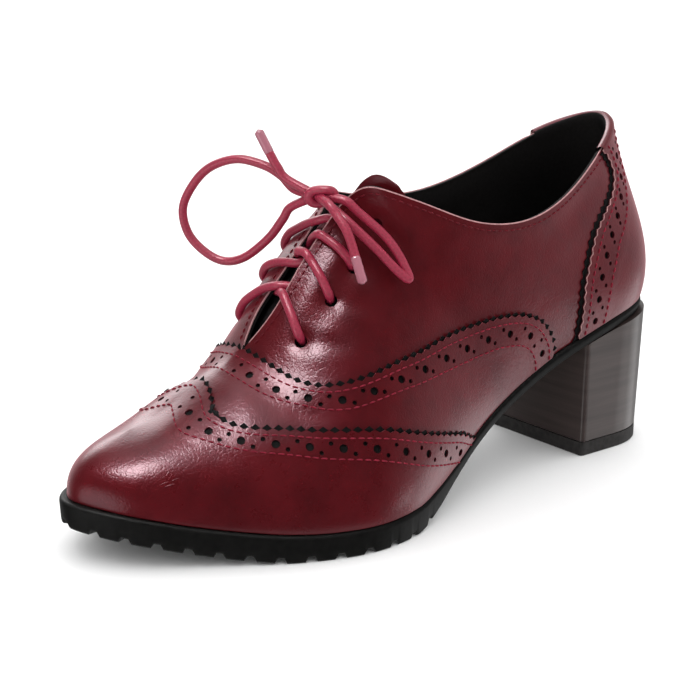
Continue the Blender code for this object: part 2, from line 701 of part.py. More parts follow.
def tube(name, points, diameter, look, per_span=2, sides=8):
    """A round cord along a path, with flat ends."""
    path = smooth_path(points, per_span)
    ahead = np.gradient(path, axis=0)
    ahead /= np.linalg.norm(ahead, axis=1, keepdims=True)
    side = np.cross(ahead[0], (0.2, 0.3, 0.93))
    rings = []
    for p, t in zip(path, ahead):
        side = side - t * np.dot(side, t)
        side /= np.linalg.norm(side)
        up = np.cross(t, side)
        turn = np.arange(sides) * 2 * math.pi / sides
        rings.append([p + diameter / 2 * (math.cos(a) * side + math.sin(a) * up) for a in turn])
    return loft(name, rings, look)


def crossing_path(station, height, lead):
    """A lace from an outer eyelet over the throat to the inner one, riding clear of the leather."""
    outer, inner = [], []
    for ahead, share, out in CROSSING:
        u = station + ahead * lead
        v = height + share * (1.0 - height)
        outer.append(offset_point(np.array(u), np.array(v), out))
        inner.append(offset_point(np.array(LOOP - u), np.array(v), out))
    u = station + lead
    peak = 0.5 * (upper_point(u, 1.0) + upper_point(LOOP - u, 1.0)) + CROSSING_LIFT
    return outer + [peak] + inner[::-1]


def make_knot():
    start, end = (np.array(p) for p in KNOT_AXIS)
    knot = tube("lace_knot", [start, end], KNOT_CORE_D, "lace")
    for share in KNOT_WRAPS:
        combine(knot, bead("wrap", start + share * (end - start), end - start, *KNOT_WRAP), "UNION")
    return knot


def make_laces():
    for k, ((station, height), lead) in enumerate(zip(EYELETS, CROSSING_LEADS)):
        tube(f"lace_cross_{k + 1}", crossing_path(station, height, lead), LACE_D, "lace")
    make_knot()
    tube("lace_loop_inner", LOOP_INNER, LACE_D, "lace", per_span=1)
    tube("lace_loop_outer", LOOP_OUTER, LACE_D, "lace")
    tube("lace_end_inner", END_INNER, LACE_D, "lace")
    tube("lace_end_outer", END_OUTER, LACE_D, "lace")
    tube("aglet_inner", TAG_INNER, TAG_D, "aglet")
    tube("aglet_outer", TAG_OUTER, TAG_D, "aglet")


def main():
    for obj in list(bpy.data.objects):
        bpy.data.objects.remove(obj, do_unlink=True)
    make_outsole()
    make_heel()
    make_insole()
    make_upper()
    make_toe_cap()
    make_vamp()
    make_counter()
    make_tongue()
    make_laces()


if __name__ == "__main__":
    main()
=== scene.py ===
import math

import bpy
import numpy as np
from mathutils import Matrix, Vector
from mathutils.geometry import delaunay_2d_cdt


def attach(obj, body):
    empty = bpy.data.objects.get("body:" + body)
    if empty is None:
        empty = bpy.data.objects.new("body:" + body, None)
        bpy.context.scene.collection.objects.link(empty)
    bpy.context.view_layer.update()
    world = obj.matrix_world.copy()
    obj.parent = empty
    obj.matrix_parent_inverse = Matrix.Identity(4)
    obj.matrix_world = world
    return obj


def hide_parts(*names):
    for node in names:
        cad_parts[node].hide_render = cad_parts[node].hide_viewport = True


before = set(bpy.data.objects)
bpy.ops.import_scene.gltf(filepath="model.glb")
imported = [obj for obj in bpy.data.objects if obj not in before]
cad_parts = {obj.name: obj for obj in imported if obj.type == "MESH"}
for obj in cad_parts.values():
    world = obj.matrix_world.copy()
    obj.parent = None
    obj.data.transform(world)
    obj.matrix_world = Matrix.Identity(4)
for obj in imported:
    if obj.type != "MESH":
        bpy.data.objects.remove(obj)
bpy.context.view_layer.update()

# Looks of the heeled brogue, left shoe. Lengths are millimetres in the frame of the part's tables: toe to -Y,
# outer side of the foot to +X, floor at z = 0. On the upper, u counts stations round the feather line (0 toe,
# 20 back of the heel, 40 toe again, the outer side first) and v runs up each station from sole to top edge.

MM = 0.001
SHIFT = np.array([-3.6, -3.9, 0.0])
WALL = 1.6
GAP = 0.3
BACK = 20
LOOP = 40
THROAT = 6
SAME = 1e-4
FAR = 1e4

# Sole seen from the side: along, height of its top, height of its underside
SOLE = [
    (-121.0, 20.2, 12.0),
    (-110.0, 18.2, 9.4),
    (-100.0, 16.0, 7.1),
    (-88.0, 13.2, 4.2),
    (-75.0, 10.8, 1.6),
    (-62.0, 9.2, 0.0),
    (-50.0, 8.6, 0.0),
    (-36.0, 8.5, 0.0),
    (-18.0, 9.2, 0.0),
    (-5.0, 12.2, 4.4),
    (5.0, 16.2, 10.4),
    (18.0, 23.4, 18.6),
    (29.0, 29.2, 24.6),
    (46.0, 37.2, 32.8),
    (60.0, 42.7, 38.3),
    (72.0, 46.6, 42.3),
    (84.0, 50.0, 45.8),
    (97.0, 53.0, 48.8),
    (112.0, 55.6, 51.5),
    (126.0, 57.2, 53.2),
]

# Feather line: along, outer side, inner side, sole edge beyond it, lean of the wall, lower handle's length
FEATHER = [
    (-112.2, -8.0, -8.0, 4.8, 2.0, 11.0),
    (-109.4, -0.4, -15.4, 4.4, 4.0, 12.0),
    (-102.4, 9.2, -23.8, 3.7, 8.0, 12.5),
    (-90.8, 18.2, -30.6, 3.4, 12.0, 13.0),
    (-77.0, 27.0, -35.0, 3.3, 14.0, 13.5),
    (-63.0, 35.6, -37.4, 3.2, 16.0, 15.5),
    (-50.0, 41.6, -37.8, 3.1, 17.0, 17.5),
    (-38.0, 44.8, -36.8, 3.0, 17.0, 20.0),
    (-26.0, 44.6, -34.6, 2.8, 16.0, 23.0),
    (-14.0, 41.8, -31.8, 2.5, 15.0, 25.0),
    (-2.0, 37.6, -29.2, 2.2, 14.0, 26.0),
    (10.0, 33.8, -27.2, 2.0, 13.0, 26.0),
    (22.0, 30.8, -26.0, 1.9, 12.0, 24.0),
    (34.0, 28.8, -25.2, 1.8, 11.0, 22.0),
    (46.0, 27.8, -25.0, 1.7, 10.0, 20.0),
    (58.0, 27.2, -25.2, 1.6, 9.0, 19.0),
    (70.0, 27.0, -25.6, 1.5, 9.0, 19.0),
    (82.0, 26.8, -25.8, 1.5, 10.0, 20.0),
    (98.0, 25.4, -24.8, 1.5, 13.0, 21.0),
    (113.0, 18.4, -18.0, 1.5, 16.0, 22.0),
    (121.6, 0.0, 0.0, 1.5, 18.0, 22.0),
]

# Top of each station: outer x, y, z, inner x, y, z, length of the upper handle, its turn, slope and droop
TOP = [
    (-7.6, -91.0, 36.8, -7.6, -91.0, 36.8, 12.5, 90.0, 20.0, 0.0),
    (-7.3, -86.8, 37.5, -7.3, -86.8, 37.5, 13.0, 60.0, 18.0, 0.0),
    (-6.8, -80.6, 39.7, -6.8, -80.6, 39.7, 15.0, 38.0, 17.0, 0.0),
    (-6.0, -74.0, 43.8, -6.0, -74.0, 43.8, 17.5, 22.0, 20.0, 0.0),
    (-5.0, -67.0, 48.2, -5.0, -67.0, 48.2, 20.5, 11.0, 27.0, 0.0),
    (-4.0, -60.5, 52.0, -4.0, -60.5, 52.0, 22.0, 4.0, 36.0, 0.0),
    (-3.2, -54.0, 57.0, -3.2, -54.0, 57.0, 22.0, 0.0, 45.0, 8.0),
    (1.6, -45.0, 69.0, -6.8, -45.0, 68.0, 22.0, 0.0, 52.0, 22.0),
    (3.0, -35.5, 82.2, -5.9, -35.0, 80.4, 23.0, 0.0, 53.0, 30.0),
    (4.0, -26.8, 93.5, -5.8, -26.0, 90.6, 24.0, 0.0, 52.0, 38.0),
    (6.0, -18.8, 103.4, -6.6, -17.8, 99.6, 25.0, 0.0, 48.0, 48.0),
    (11.5, -14.0, 108.8, -11.8, -12.8, 104.2, 26.0, 0.0, 34.0, 62.0),
    (18.5, -8.2, 107.8, -19.2, -6.8, 103.6, 25.0, 0.0, 20.0, 74.0),
    (24.4, 5.0, 102.2, -25.0, 5.5, 100.2, 22.0, 0.0, 8.0, 82.0),
    (27.4, 21.5, 95.8, -27.0, 22.5, 97.2, 20.0, 0.0, 0.0, 86.0),
    (28.0, 41.0, 93.6, -27.2, 41.0, 96.8, 20.0, 0.0, 0.0, 86.0),
    (26.2, 59.0, 97.0, -25.8, 59.0, 100.5, 21.0, 0.0, 0.0, 84.0),
    (22.6, 75.0, 103.8, -22.4, 75.0, 107.0, 22.0, -10.0, 0.0, 82.0),
    (17.6, 90.0, 112.0, -17.6, 90.0, 114.4, 24.0, -30.0, 0.0, 80.0),
    (10.6, 102.5, 118.8, -10.6, 102.5, 119.6, 25.0, -60.0, 0.0, 78.0),
    (0.0, 108.0, 122.0, 0.0, 108.0, 122.0, 25.0, -90.0, 0.0, 78.0),
]

# Shoulder of the inner side, leaner at the toe and fuller beside the throat: station, then its upper
# handle's length and droop
INNER_SHOULDER = {
    1: (12.0, 2.0),
    2: (10.0, 6.0),
    3: (13.0, 6.0),
    4: (18.0, 5.0),
    5: (19.0, 6.0),
    6: (26.0, 3.0),
    7: (26.0, 9.0),
    8: (30.0, 8.0),
    9: (33.0, 10.0),
    10: (34.0, 20.0),
    11: (31.0, 44.0),
    12: (27.0, 66.0),
}

# Brogue bands: station and height of the panel's edge, then of the inner stitch row
WING = [
    (4.05, 1.0, 2.55, 1.0), (4.03, 0.93, 2.58, 0.92), (3.95, 0.86, 2.62, 0.83), (3.85, 0.79, 2.7, 0.735),
    (3.85, 0.73, 2.95, 0.65), (3.98, 0.675, 3.4, 0.585), (4.25, 0.62, 3.95, 0.52), (4.8, 0.568, 4.6, 0.465),
    (5.65, 0.52, 5.45, 0.415), (6.35, 0.465, 6.15, 0.365), (7.2, 0.395, 7.0, 0.305), (8.25, 0.31, 8.05, 0.22),
    (9.2, 0.24, 8.95, 0.155), (10.1, 0.17, 9.75, 0.095), (10.85, 0.1, 10.3, 0.045), (11.5, 0.0, 10.7, 0.0),
]
VAMP = [
    (6.12, 1.0, 5.0, 1.0), (6.12, 0.92, 5.08, 0.91), (6.18, 0.84, 5.25, 0.82), (6.26, 0.77, 5.5, 0.735),
    (6.4, 0.7, 5.85, 0.66), (6.62, 0.643, 6.25, 0.597), (6.9, 0.6, 6.65, 0.535), (7.35, 0.557, 7.15, 0.485),
    (7.95, 0.52, 7.8, 0.45), (8.8, 0.49, 8.7, 0.417), (9.95, 0.45, 9.9, 0.37), (11.4, 0.43, 11.3, 0.33),
    (12.6, 0.425, 12.35, 0.305), (13.4, 0.425, 13.05, 0.287), (13.95, 0.415, 13.5, 0.262),
    (14.35, 0.385, 13.85, 0.232), (14.7, 0.31, 14.08, 0.18), (14.9, 0.2, 14.2, 0.12),
    (15.02, 0.1, 14.27, 0.06), (15.05, 0.0, 14.3, 0.0),
]
COUNTER = [
    (18.0, 1.0, 18.95, 1.0), (18.2, 0.95, 18.95, 0.93), (18.33, 0.88, 18.92, 0.86),
    (18.32, 0.82, 18.85, 0.78), (18.05, 0.752, 18.65, 0.7), (17.6, 0.7, 18.4, 0.61),
    (17.2, 0.64, 18.1, 0.535), (16.95, 0.56, 17.8, 0.47), (16.72, 0.47, 17.62, 0.39),
    (16.5, 0.37, 17.45, 0.31), (16.38, 0.26, 17.33, 0.215), (16.28, 0.15, 17.25, 0.13),
    (16.15, 0.0, 17.15, 0.0),
]
COLLAR_STITCHES = [
    (6.35, 0.965), (8.0, 0.968), (10.0, 0.97), (11.0, 0.97), (12.0, 0.965), (15.0, 0.962), (18.0, 0.962),
]
UPPER_STITCH = 0.24     # share of the band, from the edge to the inner stitch row
HOLE_ROW = 0.6
PAIR_ROWS = (0.42, 0.79)
HOLE_PITCH = 10.6
COUNTER_PITCH = 8.0
HOLE_SPAN = (0.03, 0.965)  # heights that the holes keep within
COUNTER_HOLE_SPAN = (0.03, 0.97)
HOLE_SIDES = (14, 10)   # of a big hole and of a small one
SHADE_REACH = 0.7        # reach of the painted shade on the walls round a hole, in hole diameters
HOLE_D = 2.7
PAIR_D = 1.5
TOOTH = 3.5
TOOTH_DEPTH = 0.9
TRIM_OUT = 0.95         # black trim beyond the panel's edge
COUNTER_TRIM_OUT = 1.9
TRIM_DEPTH = 1.2
BAND_STEP = 0.12        # height of the raised band over the rest of its panel
BAND_RIM = 0.5          # from the inner stitches to the step
BAND_STEP_RUN = 1.8
TRIM_LIFT = 1.1         # of the trim's points off the leather
COUNTER_TRIM_LIFT = 0.2
TRIM_IN = 1.1           # share of the band that the trim runs under the panel
TRIM_SKIP = 4           # its inner line takes every fourth point
COUNTER_TRIM_TOP = 0.99
VAMP_IN = 0.5           # share of the wing's band that the vamp runs under it
VAMP_SKIP = 3

# Height of each layer over the upper's face: inside, outside
TRIM_LAYER = (0.05, 0.35)
VAMP_LAYER = (0.4, 1.2)
WING_TRIM_LAYER = (1.22, 1.48)
CAP_LAYER = (1.5, 2.2)
COUNTER_LAYER = (0.4, 1.4)

EYELETS = [(7.0, 0.805), (8.05, 0.805), (9.0, 0.81), (10.3, 0.85)]
EYELET_D = 4.2
EYELET_SIDES = 20
PALE_SHARE = 0.33       # of the collar's and facings' cut edge

# Creases on the upper: outer side 1, inner side -1 or both 0, start and end as station and
# height, width, depth
CREASES = [
    (1, 17.6, 0.86, 15.9, 0.87, 4.0, 0.35),
    (1, 15.4, 0.82, 13.6, 0.8, 5.0, 0.25),
    (1, 6.2, 0.56, 7.6, 0.45, 3.6, 0.16),
    (-1, 16.6, 0.86, 14.4, 0.84, 5.0, 0.35),
    (-1, 6.4, 0.54, 8.0, 0.4, 4.0, 0.2),
    (0, 7.15, 0.77, 7.7, 0.66, 2.6, 0.3),
    (0, 8.2, 0.77, 8.9, 0.66, 2.6, 0.3),
    (0, 9.2, 0.77, 10.0, 0.67, 2.6, 0.3),
    (0, 10.5, 0.82, 11.4, 0.74, 2.8, 0.3),
    (0, 6.5, 0.885, 10.6, 0.9, 4.2, -0.5),
    (0, 5.25, 0.93, 5.5, 0.74, 3.0, 0.2),
]
RIDGE_SHARE = 0.45      # height of the ridges beside a crease
RIDGE_AWAY = 1.9        # their distance from it, in widths
CREASE_FADE = (0.15, 0.7)  # start and length of the half wave that fades its ends
DIMPLE = (3.0, 0.85)    # radius and depth of the leather pulled in round an eyelet

# The counter's fold over the collar: first station, and height, distance from the upper and look of each line
FOLD_START = 18.02
FOLD_COUNT = 90
FOLD = [
    (0.985, 1.42, "leather"),
    (1.005, 1.45, "leather"),
    (1.017, 0.9, "leather"),
    (1.02, -0.2, "leather"),
    (1.016, -1.4, "lining"),
    (1.004, -1.9, "lining"),
    (0.98, -1.95, "lining"),
    (0.95, -1.75, "lining"),
]

# Raw edge of facings and collar, and scratches on the toe: start and end as station and height
RAW_EDGE_RUN = (6.3, 17.9)
RAW_EDGE_COUNT = 160
RAW_EDGE_D = 0.5
RAW_EDGE_IN = 0.15
SCUFFS = [(2.52, 0.28, 2.72, 0.312), (2.62, 0.268, 2.86, 0.3), (2.75, 0.315, 2.93, 0.338)]
SCUFF_D = 0.7
SCUFF_IN = 0.2
SCUFF_SAG = 0.006
SCUFF_COUNT = 9
THIN_SIDES = 8          # of a thin tube

# Lugs and edge of the sole, the gaps a little tighter than the solid's
LUG_PITCH = 9.4
LUG_GAP = 3.8
LUG_DEPTH = 1.6
LUG_RUN = 8.0
LUG_LAST = 9.4
LUG_SLOPE = 0.9
LIP = 1.5               # radius of its rounded upper lip
SOLE_LEAN = 0.4
SOLE_ROUND = 0.5
SOLE_WALL_FOOT = 1.6    # where its side starts to turn under
SOLE_WALL_LEAN = 0.6    # share of the lean up to there
SOLE_LEDGE = 8.0        # of its top inwards under the upper
SOLE_COUNT = 221
LIP_COUNT = 6
LUG_COUNT = 400
SOLE_SHARP = 32.0       # degrees from which an edge stays sharp

# Heel at its foot and under the sole: front, outer side, inner side, where its round starts, back
HEEL_FOOT = (78.2, 26.0, -24.6, 96.0, 121.4)
HEEL_HEAD = (77.0, 27.6, -26.4, 96.0, 122.4)
HEEL_SQUARE = 0.9
HEEL_TIP = 5.4
HEEL_CORNER = 1.2
HEEL_ROUND = 0.35
HEEL_SEAM = (0.2, 0.1, 0.35)  # chamfer of the tip's top edge, gap and end of the block's chamfer over it
HEEL_CHAMFER = 0.25
HEEL_TURN = 1.0         # its sides stop this far before the bend
HEEL_COUNTS = (5, 6, 20)  # points of corner, side and bend
HEEL_SHARP = 40.0
HEEL_LEVELS = np.linspace(0.2, 1.0, 5)

INSOLE = 2.2
INSOLE_INSET = 0.6
INSOLE_EDGE = [(0.0, 0.0), (0.0, 0.6), (0.4, 0.9), (1.2, 1.0)]  # further inset, share of the height
INSOLE_COUNT = 141

# Tongue, slipped to the outer side: station and height on the facing of its outer edge, then its inner edge
TONGUE_SIDES = [
    (6.6, 0.74, 6.6, 0.74),
    (7.2, 0.74, 7.2, 0.74),
    (7.8, 0.745, 7.8, 0.745),
    (8.4, 0.755, 8.4, 0.755),
    (9.0, 0.77, 9.0, 0.77),
    (9.6, 0.79, 9.5, 0.8),
    (10.4, 0.82, 9.75, 0.83),
    (11.1, 0.85, 9.95, 0.85),
    (11.7, 0.88, 10.1, 0.86),
    (12.2, 0.91, 10.2, 0.86),
]
TONGUE_INNERMOST = 0.96
TONGUE_BOW = 0.75
TONGUE = 1.8
TONGUE_UNDER = WALL + 2.4
TONGUE_LIFT = [(0.0, 6.0), (0.3, 4.4), (0.45, 6.8), (0.5, 5.8), (0.6, 1.0), (1.0, 0.4)]
TONGUE_RED = 5          # row from which its face is red; the black below is partly lining, partly painted shade
TONGUE_SPANS = 5        # rings to a row
TONGUE_COUNT = (13, 25)  # points under a facing, and over the middle

# Lace: share of the way from an eyelet to its facing's edge, height over the leather
LACE_D = 3.0
STRAND = [(0.06, -4.6), (0.06, -1.4), (0.14, 1.2), (0.42, 1.7), (0.75, 1.75)]
# Stations ahead where each strand crosses the facings' edges: the outer strand, the inner strand
LEADS = [(0.5, 0.55), (0.43, 0.22), (0.03, 0.4)]
OUTER_ON_TOP = [False, True, False]
# Height of a strand over its own edge, over the throat's middle, under the other edge and at its end
CROSS_LOW = (1.1, -0.9, -2.9, -3.4)
CROSS_HIGH = (1.9, 1.9, -1.6, -3.3)
CROSS_LEADS = (1.15, 1.3, 1.5)  # shares of its lead at the last three
STRAND_TUCK = 0.9       # how far up the other facing it ends
LOOP_INNER = [
    (-8.0, -27.6, 107.2), (-12.5, -29.8, 111.4), (-18.0, -33.0, 114.5), (-26.0, -38.0, 116.0),
    (-34.0, -43.0, 113.0), (-39.5, -46.5, 107.0), (-43.0, -49.0, 98.5), (-42.0, -48.0, 90.0),
    (-37.0, -45.0, 84.0), (-31.0, -41.0, 81.0), (-24.0, -37.0, 83.0), (-16.5, -32.5, 90.0),
    (-11.5, -30.0, 97.0), (-8.8, -28.4, 101.4),
]
LOOP_OUTER = [
    (10.8, -21.6, 105.6), (14.2, -18.6, 102.0), (19.8, -14.0, 96.0), (23.2, -11.4, 91.4), (26.2, -9.6, 86.0),
    (28.6, -9.0, 81.2), (26.8, -12.2, 83.8), (21.6, -17.2, 91.2), (15.2, -22.4, 98.6), (10.8, -23.8, 101.6),
]
END_INNER = [(-7.6, -31.0, 111.0), (-10.2, -32.8, 114.8), (-12.0, -33.8, 118.0)]
TAG_INNER = [(-12.3, -34.0, 118.6), (-16.5, -36.0, 126.5)]
END_OUTER = [(10.0, -27.4, 105.0), (13.6, -26.8, 101.8), (17.8, -26.0, 97.2), (20.8, -25.4, 90.8)]
TAG_OUTER = [(21.1, -25.4, 90.1), (25.6, -25.4, 81.2)]
AGLET_D = LACE_D + 0.2
AGLET_SHADE_D = 1.3      # black plug at the aglet's open end, painted shade of its bore
# Where the black plug of painted shade runs, in mm from the sleeve's end
AGLET_SHADE_SPAN = (-0.6, 0.12)
KNOT_AXIS = ((-4.2, -26.6, 106.6), (6.0, -24.9, 106.0))
KNOT_COIL = 2.6         # radius of the wrap's middle line
# The wrap: share along the axis and degrees round it, from the top over the viewer's side to below
KNOT_WRAP = [
    (1.1, 175), (1.1, 135), (1.04, 103), (0.9, 80), (0.7, 60), (0.52, 35), (0.44, 0), (0.46, -40),
    (0.56, -85), (0.74, -130),
]
KNOT_INSIDE = (1.8, -25.6, 106.2)

# Camera, from the photograph
CAMERA = (387.46, -313.49, 192.2)
AIM = (-5.08, -6.8, 49.35)
LENS = 77.14
SENSOR = 36.0
CLIP_START = 0.01

# Reflected surroundings: strength on the viewer's side and behind, overhead and below, and the cosines where
# each one starts and is full
DARK_SIDE = (0.564, -0.826, 0.0)
WORLD_SIDES = (0.01, 0.45)
WORLD_SIDES_SPAN = (0.1, -0.4)
WORLD_OVERHEAD = 1.7
WORLD_OVERHEAD_SPAN = (0.82, 0.96)
WORLD_UNDER = 0.8
WORLD_UNDER_SPAN = (-0.55, -0.85)
# Bright fields that only reflections show: direction, cosine at its rim and at its full part, strength
WORLD_FIELDS = [
    ((-0.833, 0.233, 0.5), 0.9, 1.0, 5.0),
    ((0.138, 0.908, -0.4), 0.965, 0.988, 1.7),
    ((0.11, -0.47, 0.876), 0.972, 0.99, 24.0),
    ((0.028, -0.985, -0.17), 0.9, 0.97, 1.6),
    ((0.5, 0.77, -0.396), 0.987, 0.998, 2.2),
]
# Light on matte faces: from below and above, then shares from the viewer's side and from behind
WORLD_EVEN = (0.85, 1.85)
WORLD_EVEN_SPAN = (-0.2, 0.9)
WORLD_TILT = (0.75, 1.25)
WORLD_TILT_SPAN = (0.7, -0.7)
FLOOR_HALF = 6.0
SOFTBOX_AIM = (0.0, -0.04, 0.06)
SOFTBOXES = [
    ("key_softbox", (0.12, -0.58, 0.91), (0.28, 0.28), 0.6),
]

# Mesh sizes
SPACING = 1.25          # of the panels' points
ROW_SPACING = 0.87 * SPACING
EDGE_CLEAR = 0.6 * SPACING
EASE_REACH = 13.0       # of the smoothing where the toe's rows meet
EASE_HOLD = 1.5         # over 1, so that the middle of its reach is smoothed in full
EASE_PASSES = 40
CHART = np.array([12.0, 55.0])  # about a station and the wall's height
PLAN_STEP = 0.01        # stations, for the feather line's direction
NORMAL_STEPS = (0.03, 0.008)  # stations and height, for the upper's normals
NORMAL_SPAN = (0.008, 0.984)
LEVEL_SHARE = 0.08      # height below which normals turn level
SLOPE_STEPS = (0.02, 0.01)
JOINED = 0.01           # points of both sides this near are one
BAND_SPANS = 8          # points to a span of a smooth line
COLLAR_SPANS = 10
STRAND_SPANS = 8
CORD_SPANS = 10
AGLET_SPANS = 12
MERGE = 1e-6            # corners of a fill this near are one
STITCH = 2.7
STITCH_D = 0.54
STITCH_SPAN = (0.1, 0.9)
STITCH_SIDES = 6
# Rings of a stitch: height over its seam, share of its thickness
STITCH_RINGS = [(-0.22, 0.55), (0.1, 0.9), (0.2, 1.0), (0.2, 1.0), (0.1, 0.9), (-0.22, 0.55)]
TUBE_SIDES = 14
TUBE_END = 0.35         # rounded end, in diameters
TUBE_TIP = 0.05         # square of the end ring's share of the radius
TUBE_UP = (0.2, 0.3, 0.93)  # no cord starts along it


def through(xs, ys, at):
    """A smooth curve through a table that adds no bumps of its own."""
    xs, ys, at = (np.asarray(a, float) for a in (xs, ys, at))
    step = np.diff(xs)
    slope = np.diff(ys) / step
    ends = np.zeros_like(ys)
    same = slope[:-1] * slope[1:] > 0
    w1, w2 = 2 * step[1:] + step[:-1], step[1:] + 2 * step[:-1]
    with np.errstate(divide="ignore", invalid="ignore"):
        ends[1:-1] = np.where(same, (w1 + w2) / (w1 / slope[:-1] + w2 / slope[1:]), 0.0)
    ends[0], ends[-1] = slope[0], slope[-1]
    i = np.clip(np.searchsorted(xs, at) - 1, 0, len(xs) - 2)
    h = step[i]
    s = np.clip((at - xs[i]) / h, 0.0, 1.0)
    return (
        (1 + 2 * s) * (1 - s) ** 2 * ys[i] + s * (1 - s) ** 2 * h * ends[i]
        + s * s * (3 - 2 * s) * ys[i + 1] + s * s * (s - 1) * h * ends[i + 1]
    )


def round_loop(values, at):
    """A closed cubic spline through rows that are one station apart."""
    values = np.asarray(values, float)
    n = len(values)
    system = 4 * np.eye(n) + np.roll(np.eye(n), 1, axis=1) + np.roll(np.eye(n), -1, axis=1)
    flat = values.reshape(n, -1)
    bend = np.linalg.solve(system, 6 * (np.roll(flat, -1, 0) - 2 * flat + np.roll(flat, 1, 0)))
    at = np.asarray(at, float) % n
    i = np.floor(at).astype(int) % n
    j = (i + 1) % n
    s = (at - np.floor(at))[..., None]
    found = (
        (1 - s) * flat[i] + s * flat[j]
        + ((1 - s) ** 3 - (1 - s)) * bend[i] / 6 + (s ** 3 - s) * bend[j] / 6
    )
    return found.reshape(at.shape + values.shape[1:])


def unit(vectors):
    return vectors / np.linalg.norm(vectors, axis=-1, keepdims=True)


def run_along(points):
    """Distance from the first point, at each point of a line."""
    return np.concatenate([[0.0], np.cumsum(np.linalg.norm(np.diff(points, axis=0), axis=1))])


def on_side(u, side):
    """A station of the outer side, or its match on the inner one."""
    return u if side > 0 else LOOP - u


def sole_top(y):
    table = np.array(SOLE)
    return through(table[:, 0], table[:, 1], y)


def sole_under(y):
    table = np.array(SOLE)
    return through(table[:, 0], table[:, 2], y)


def feather_rows():
    table = np.array(FEATHER)
    outer = np.column_stack([table[:, 1], table[:, 0]])
    inner = np.column_stack([table[:, 2], table[:, 0]])
    return np.array(list(outer) + list(inner[-2:0:-1]))


def plan_normal(rows, u):
    """Outward direction of the feather line, seen from above."""
    u = np.asarray(u)
    ahead = round_loop(rows, u + PLAN_STEP) - round_loop(rows, u - PLAN_STEP)
    return unit(np.stack([ahead[..., 1], -ahead[..., 0]], -1))


def station_handles():
    """The four Bezier points of every station, round the loop."""
    rows = feather_rows()
    normal = plan_normal(rows, np.arange(LOOP))
    points = np.zeros((LOOP, 4, 3))
    for u in range(LOOP):
        r = min(u, LOOP - u)
        side = 1.0 if u <= BACK else -1.0
        along, _, _, _, lean, up = FEATHER[r]
        top = TOP[r]
        reach, turn, slope, droop = top[6:10]
        if side < 0:
            reach, droop = INNER_SHOULDER.get(r, (reach, droop))
        turn, slope, droop = (math.radians(a) for a in (turn, slope, droop))
        base = np.array([rows[u][0], rows[u][1], float(sole_top(along)) + GAP])
        lean = math.radians(lean)
        low = base + up * np.array([*(normal[u] * math.sin(lean)), math.cos(lean)])
        peak = np.array(top[0:3] if side > 0 else top[3:6])
        forward = -math.sin(turn) * np.array([0.0, math.cos(slope), math.sin(slope)])
        level = np.array([side * math.cos(turn), 0.0, 0.0]) + forward
        inward = np.array([0.0, math.sin(slope), -math.cos(slope)])
        high = peak + reach * (math.cos(droop) * level + math.sin(droop) * inward)
        points[u] = base, low, high, peak
    return points


HANDLES = station_handles()


def upper_point(u, v):
    """Points of the upper's outer face."""
    u, v = np.broadcast_arrays(np.asarray(u, float) % LOOP, np.asarray(v, float))
    c = round_loop(HANDLES, u)
    other = round_loop(HANDLES[:, 3], LOOP - u)
    shared = np.minimum(u, LOOP - u) <= THROAT + SAME
    c[..., 3, :] = np.where(shared[..., None], 0.5 * (c[..., 3, :] + other), c[..., 3, :])
    v = v[..., None]
    w = 1 - v
    shares = (w ** 3, 3 * w * w * v, 3 * w * v * v, v ** 3)
    return sum(share * c[..., k, :] for k, share in enumerate(shares))


def upper_normal(u, v):
    """Outward normals, level at the sole and common to both sides along the ridge."""
    u, v = np.broadcast_arrays(np.asarray(u, float) % LOOP, np.asarray(v, float))

    def plain(u, v):
        v = np.clip(v, *NORMAL_SPAN)
        du, dv = NORMAL_STEPS
        across = upper_point(u + du, v) - upper_point(u - du, v)
        up = upper_point(u, v + dv) - upper_point(u, v - dv)
        return unit(np.cross(across, up))

    normal = plain(u, v)
    ridge = (np.minimum(u, LOOP - u) <= THROAT + SAME) & (v > 1 - SAME)
    normal = np.where(ridge[..., None], normal + plain(LOOP - u, v), normal)
    normal[..., 2] *= np.clip(v / LEVEL_SHARE, 0.0, 1.0)
    return unit(normal)


def relief(u, points):
    """Creases and dimples, as a height over the plain upper."""
    side = np.where(u <= BACK, 1, -1)
    height = np.zeros(u.shape)
    fade, length = CREASE_FADE
    for which, u0, v0, u1, v1, width, depth in CREASES:
        for way in (which,) if which else (1, -1):
            a, b = upper_point(on_side(u0, way), v0), upper_point(on_side(u1, way), v1)
            t = np.clip(((points - a) @ (b - a)) / np.dot(b - a, b - a), 0.0, 1.0)
            away = np.linalg.norm(points - a - t[..., None] * (b - a), axis=-1) / width
            trough = RIDGE_SHARE * np.exp(-(away - RIDGE_AWAY) ** 2) - np.exp(-away ** 2)
            strength = depth * np.sin(math.pi * (fade + length * t))
            height += np.where(side == way, strength * trough, 0.0)
    for station, share in EYELETS:
        for place in (station, LOOP - station):
            away = np.linalg.norm(points - upper_point(place, share), axis=-1)
            height -= DIMPLE[1] * np.exp(-(away / DIMPLE[0]) ** 2)
    return height


def face_point(u, v, out):
    """The upper's face with its creases, moved outwards and held clear of the sole."""
    u, v = np.broadcast_arrays(np.asarray(u, float) % LOOP, np.asarray(v, float))
    p = upper_point(u, v)
    out = np.asarray(out, float) + relief(u, p)
    p = p + upper_normal(u, v) * out[..., None]
    p[..., 2] = np.maximum(p[..., 2], sole_top(p[..., 1]) + GAP)
    return p


def smooth_path(points, per_span):
    """A Catmull-Rom curve through points or rows."""
    p = np.asarray(points, float)
    p = np.vstack([2 * p[0] - p[1], p, 2 * p[-1] - p[-2]])
    out = []
    for a, b, c, d in zip(p, p[1:], p[2:], p[3:]):
        for s in np.arange(per_span) / per_span:
            square = (2 * a - 5 * b + 4 * c - d) * s ** 2
            cube = (3 * b - a - 3 * c + d) * s ** 3
            out.append(0.5 * (2 * b + (c - a) * s + square + cube))
    out.append(p[-2])
    return np.array(out)


# Meshes

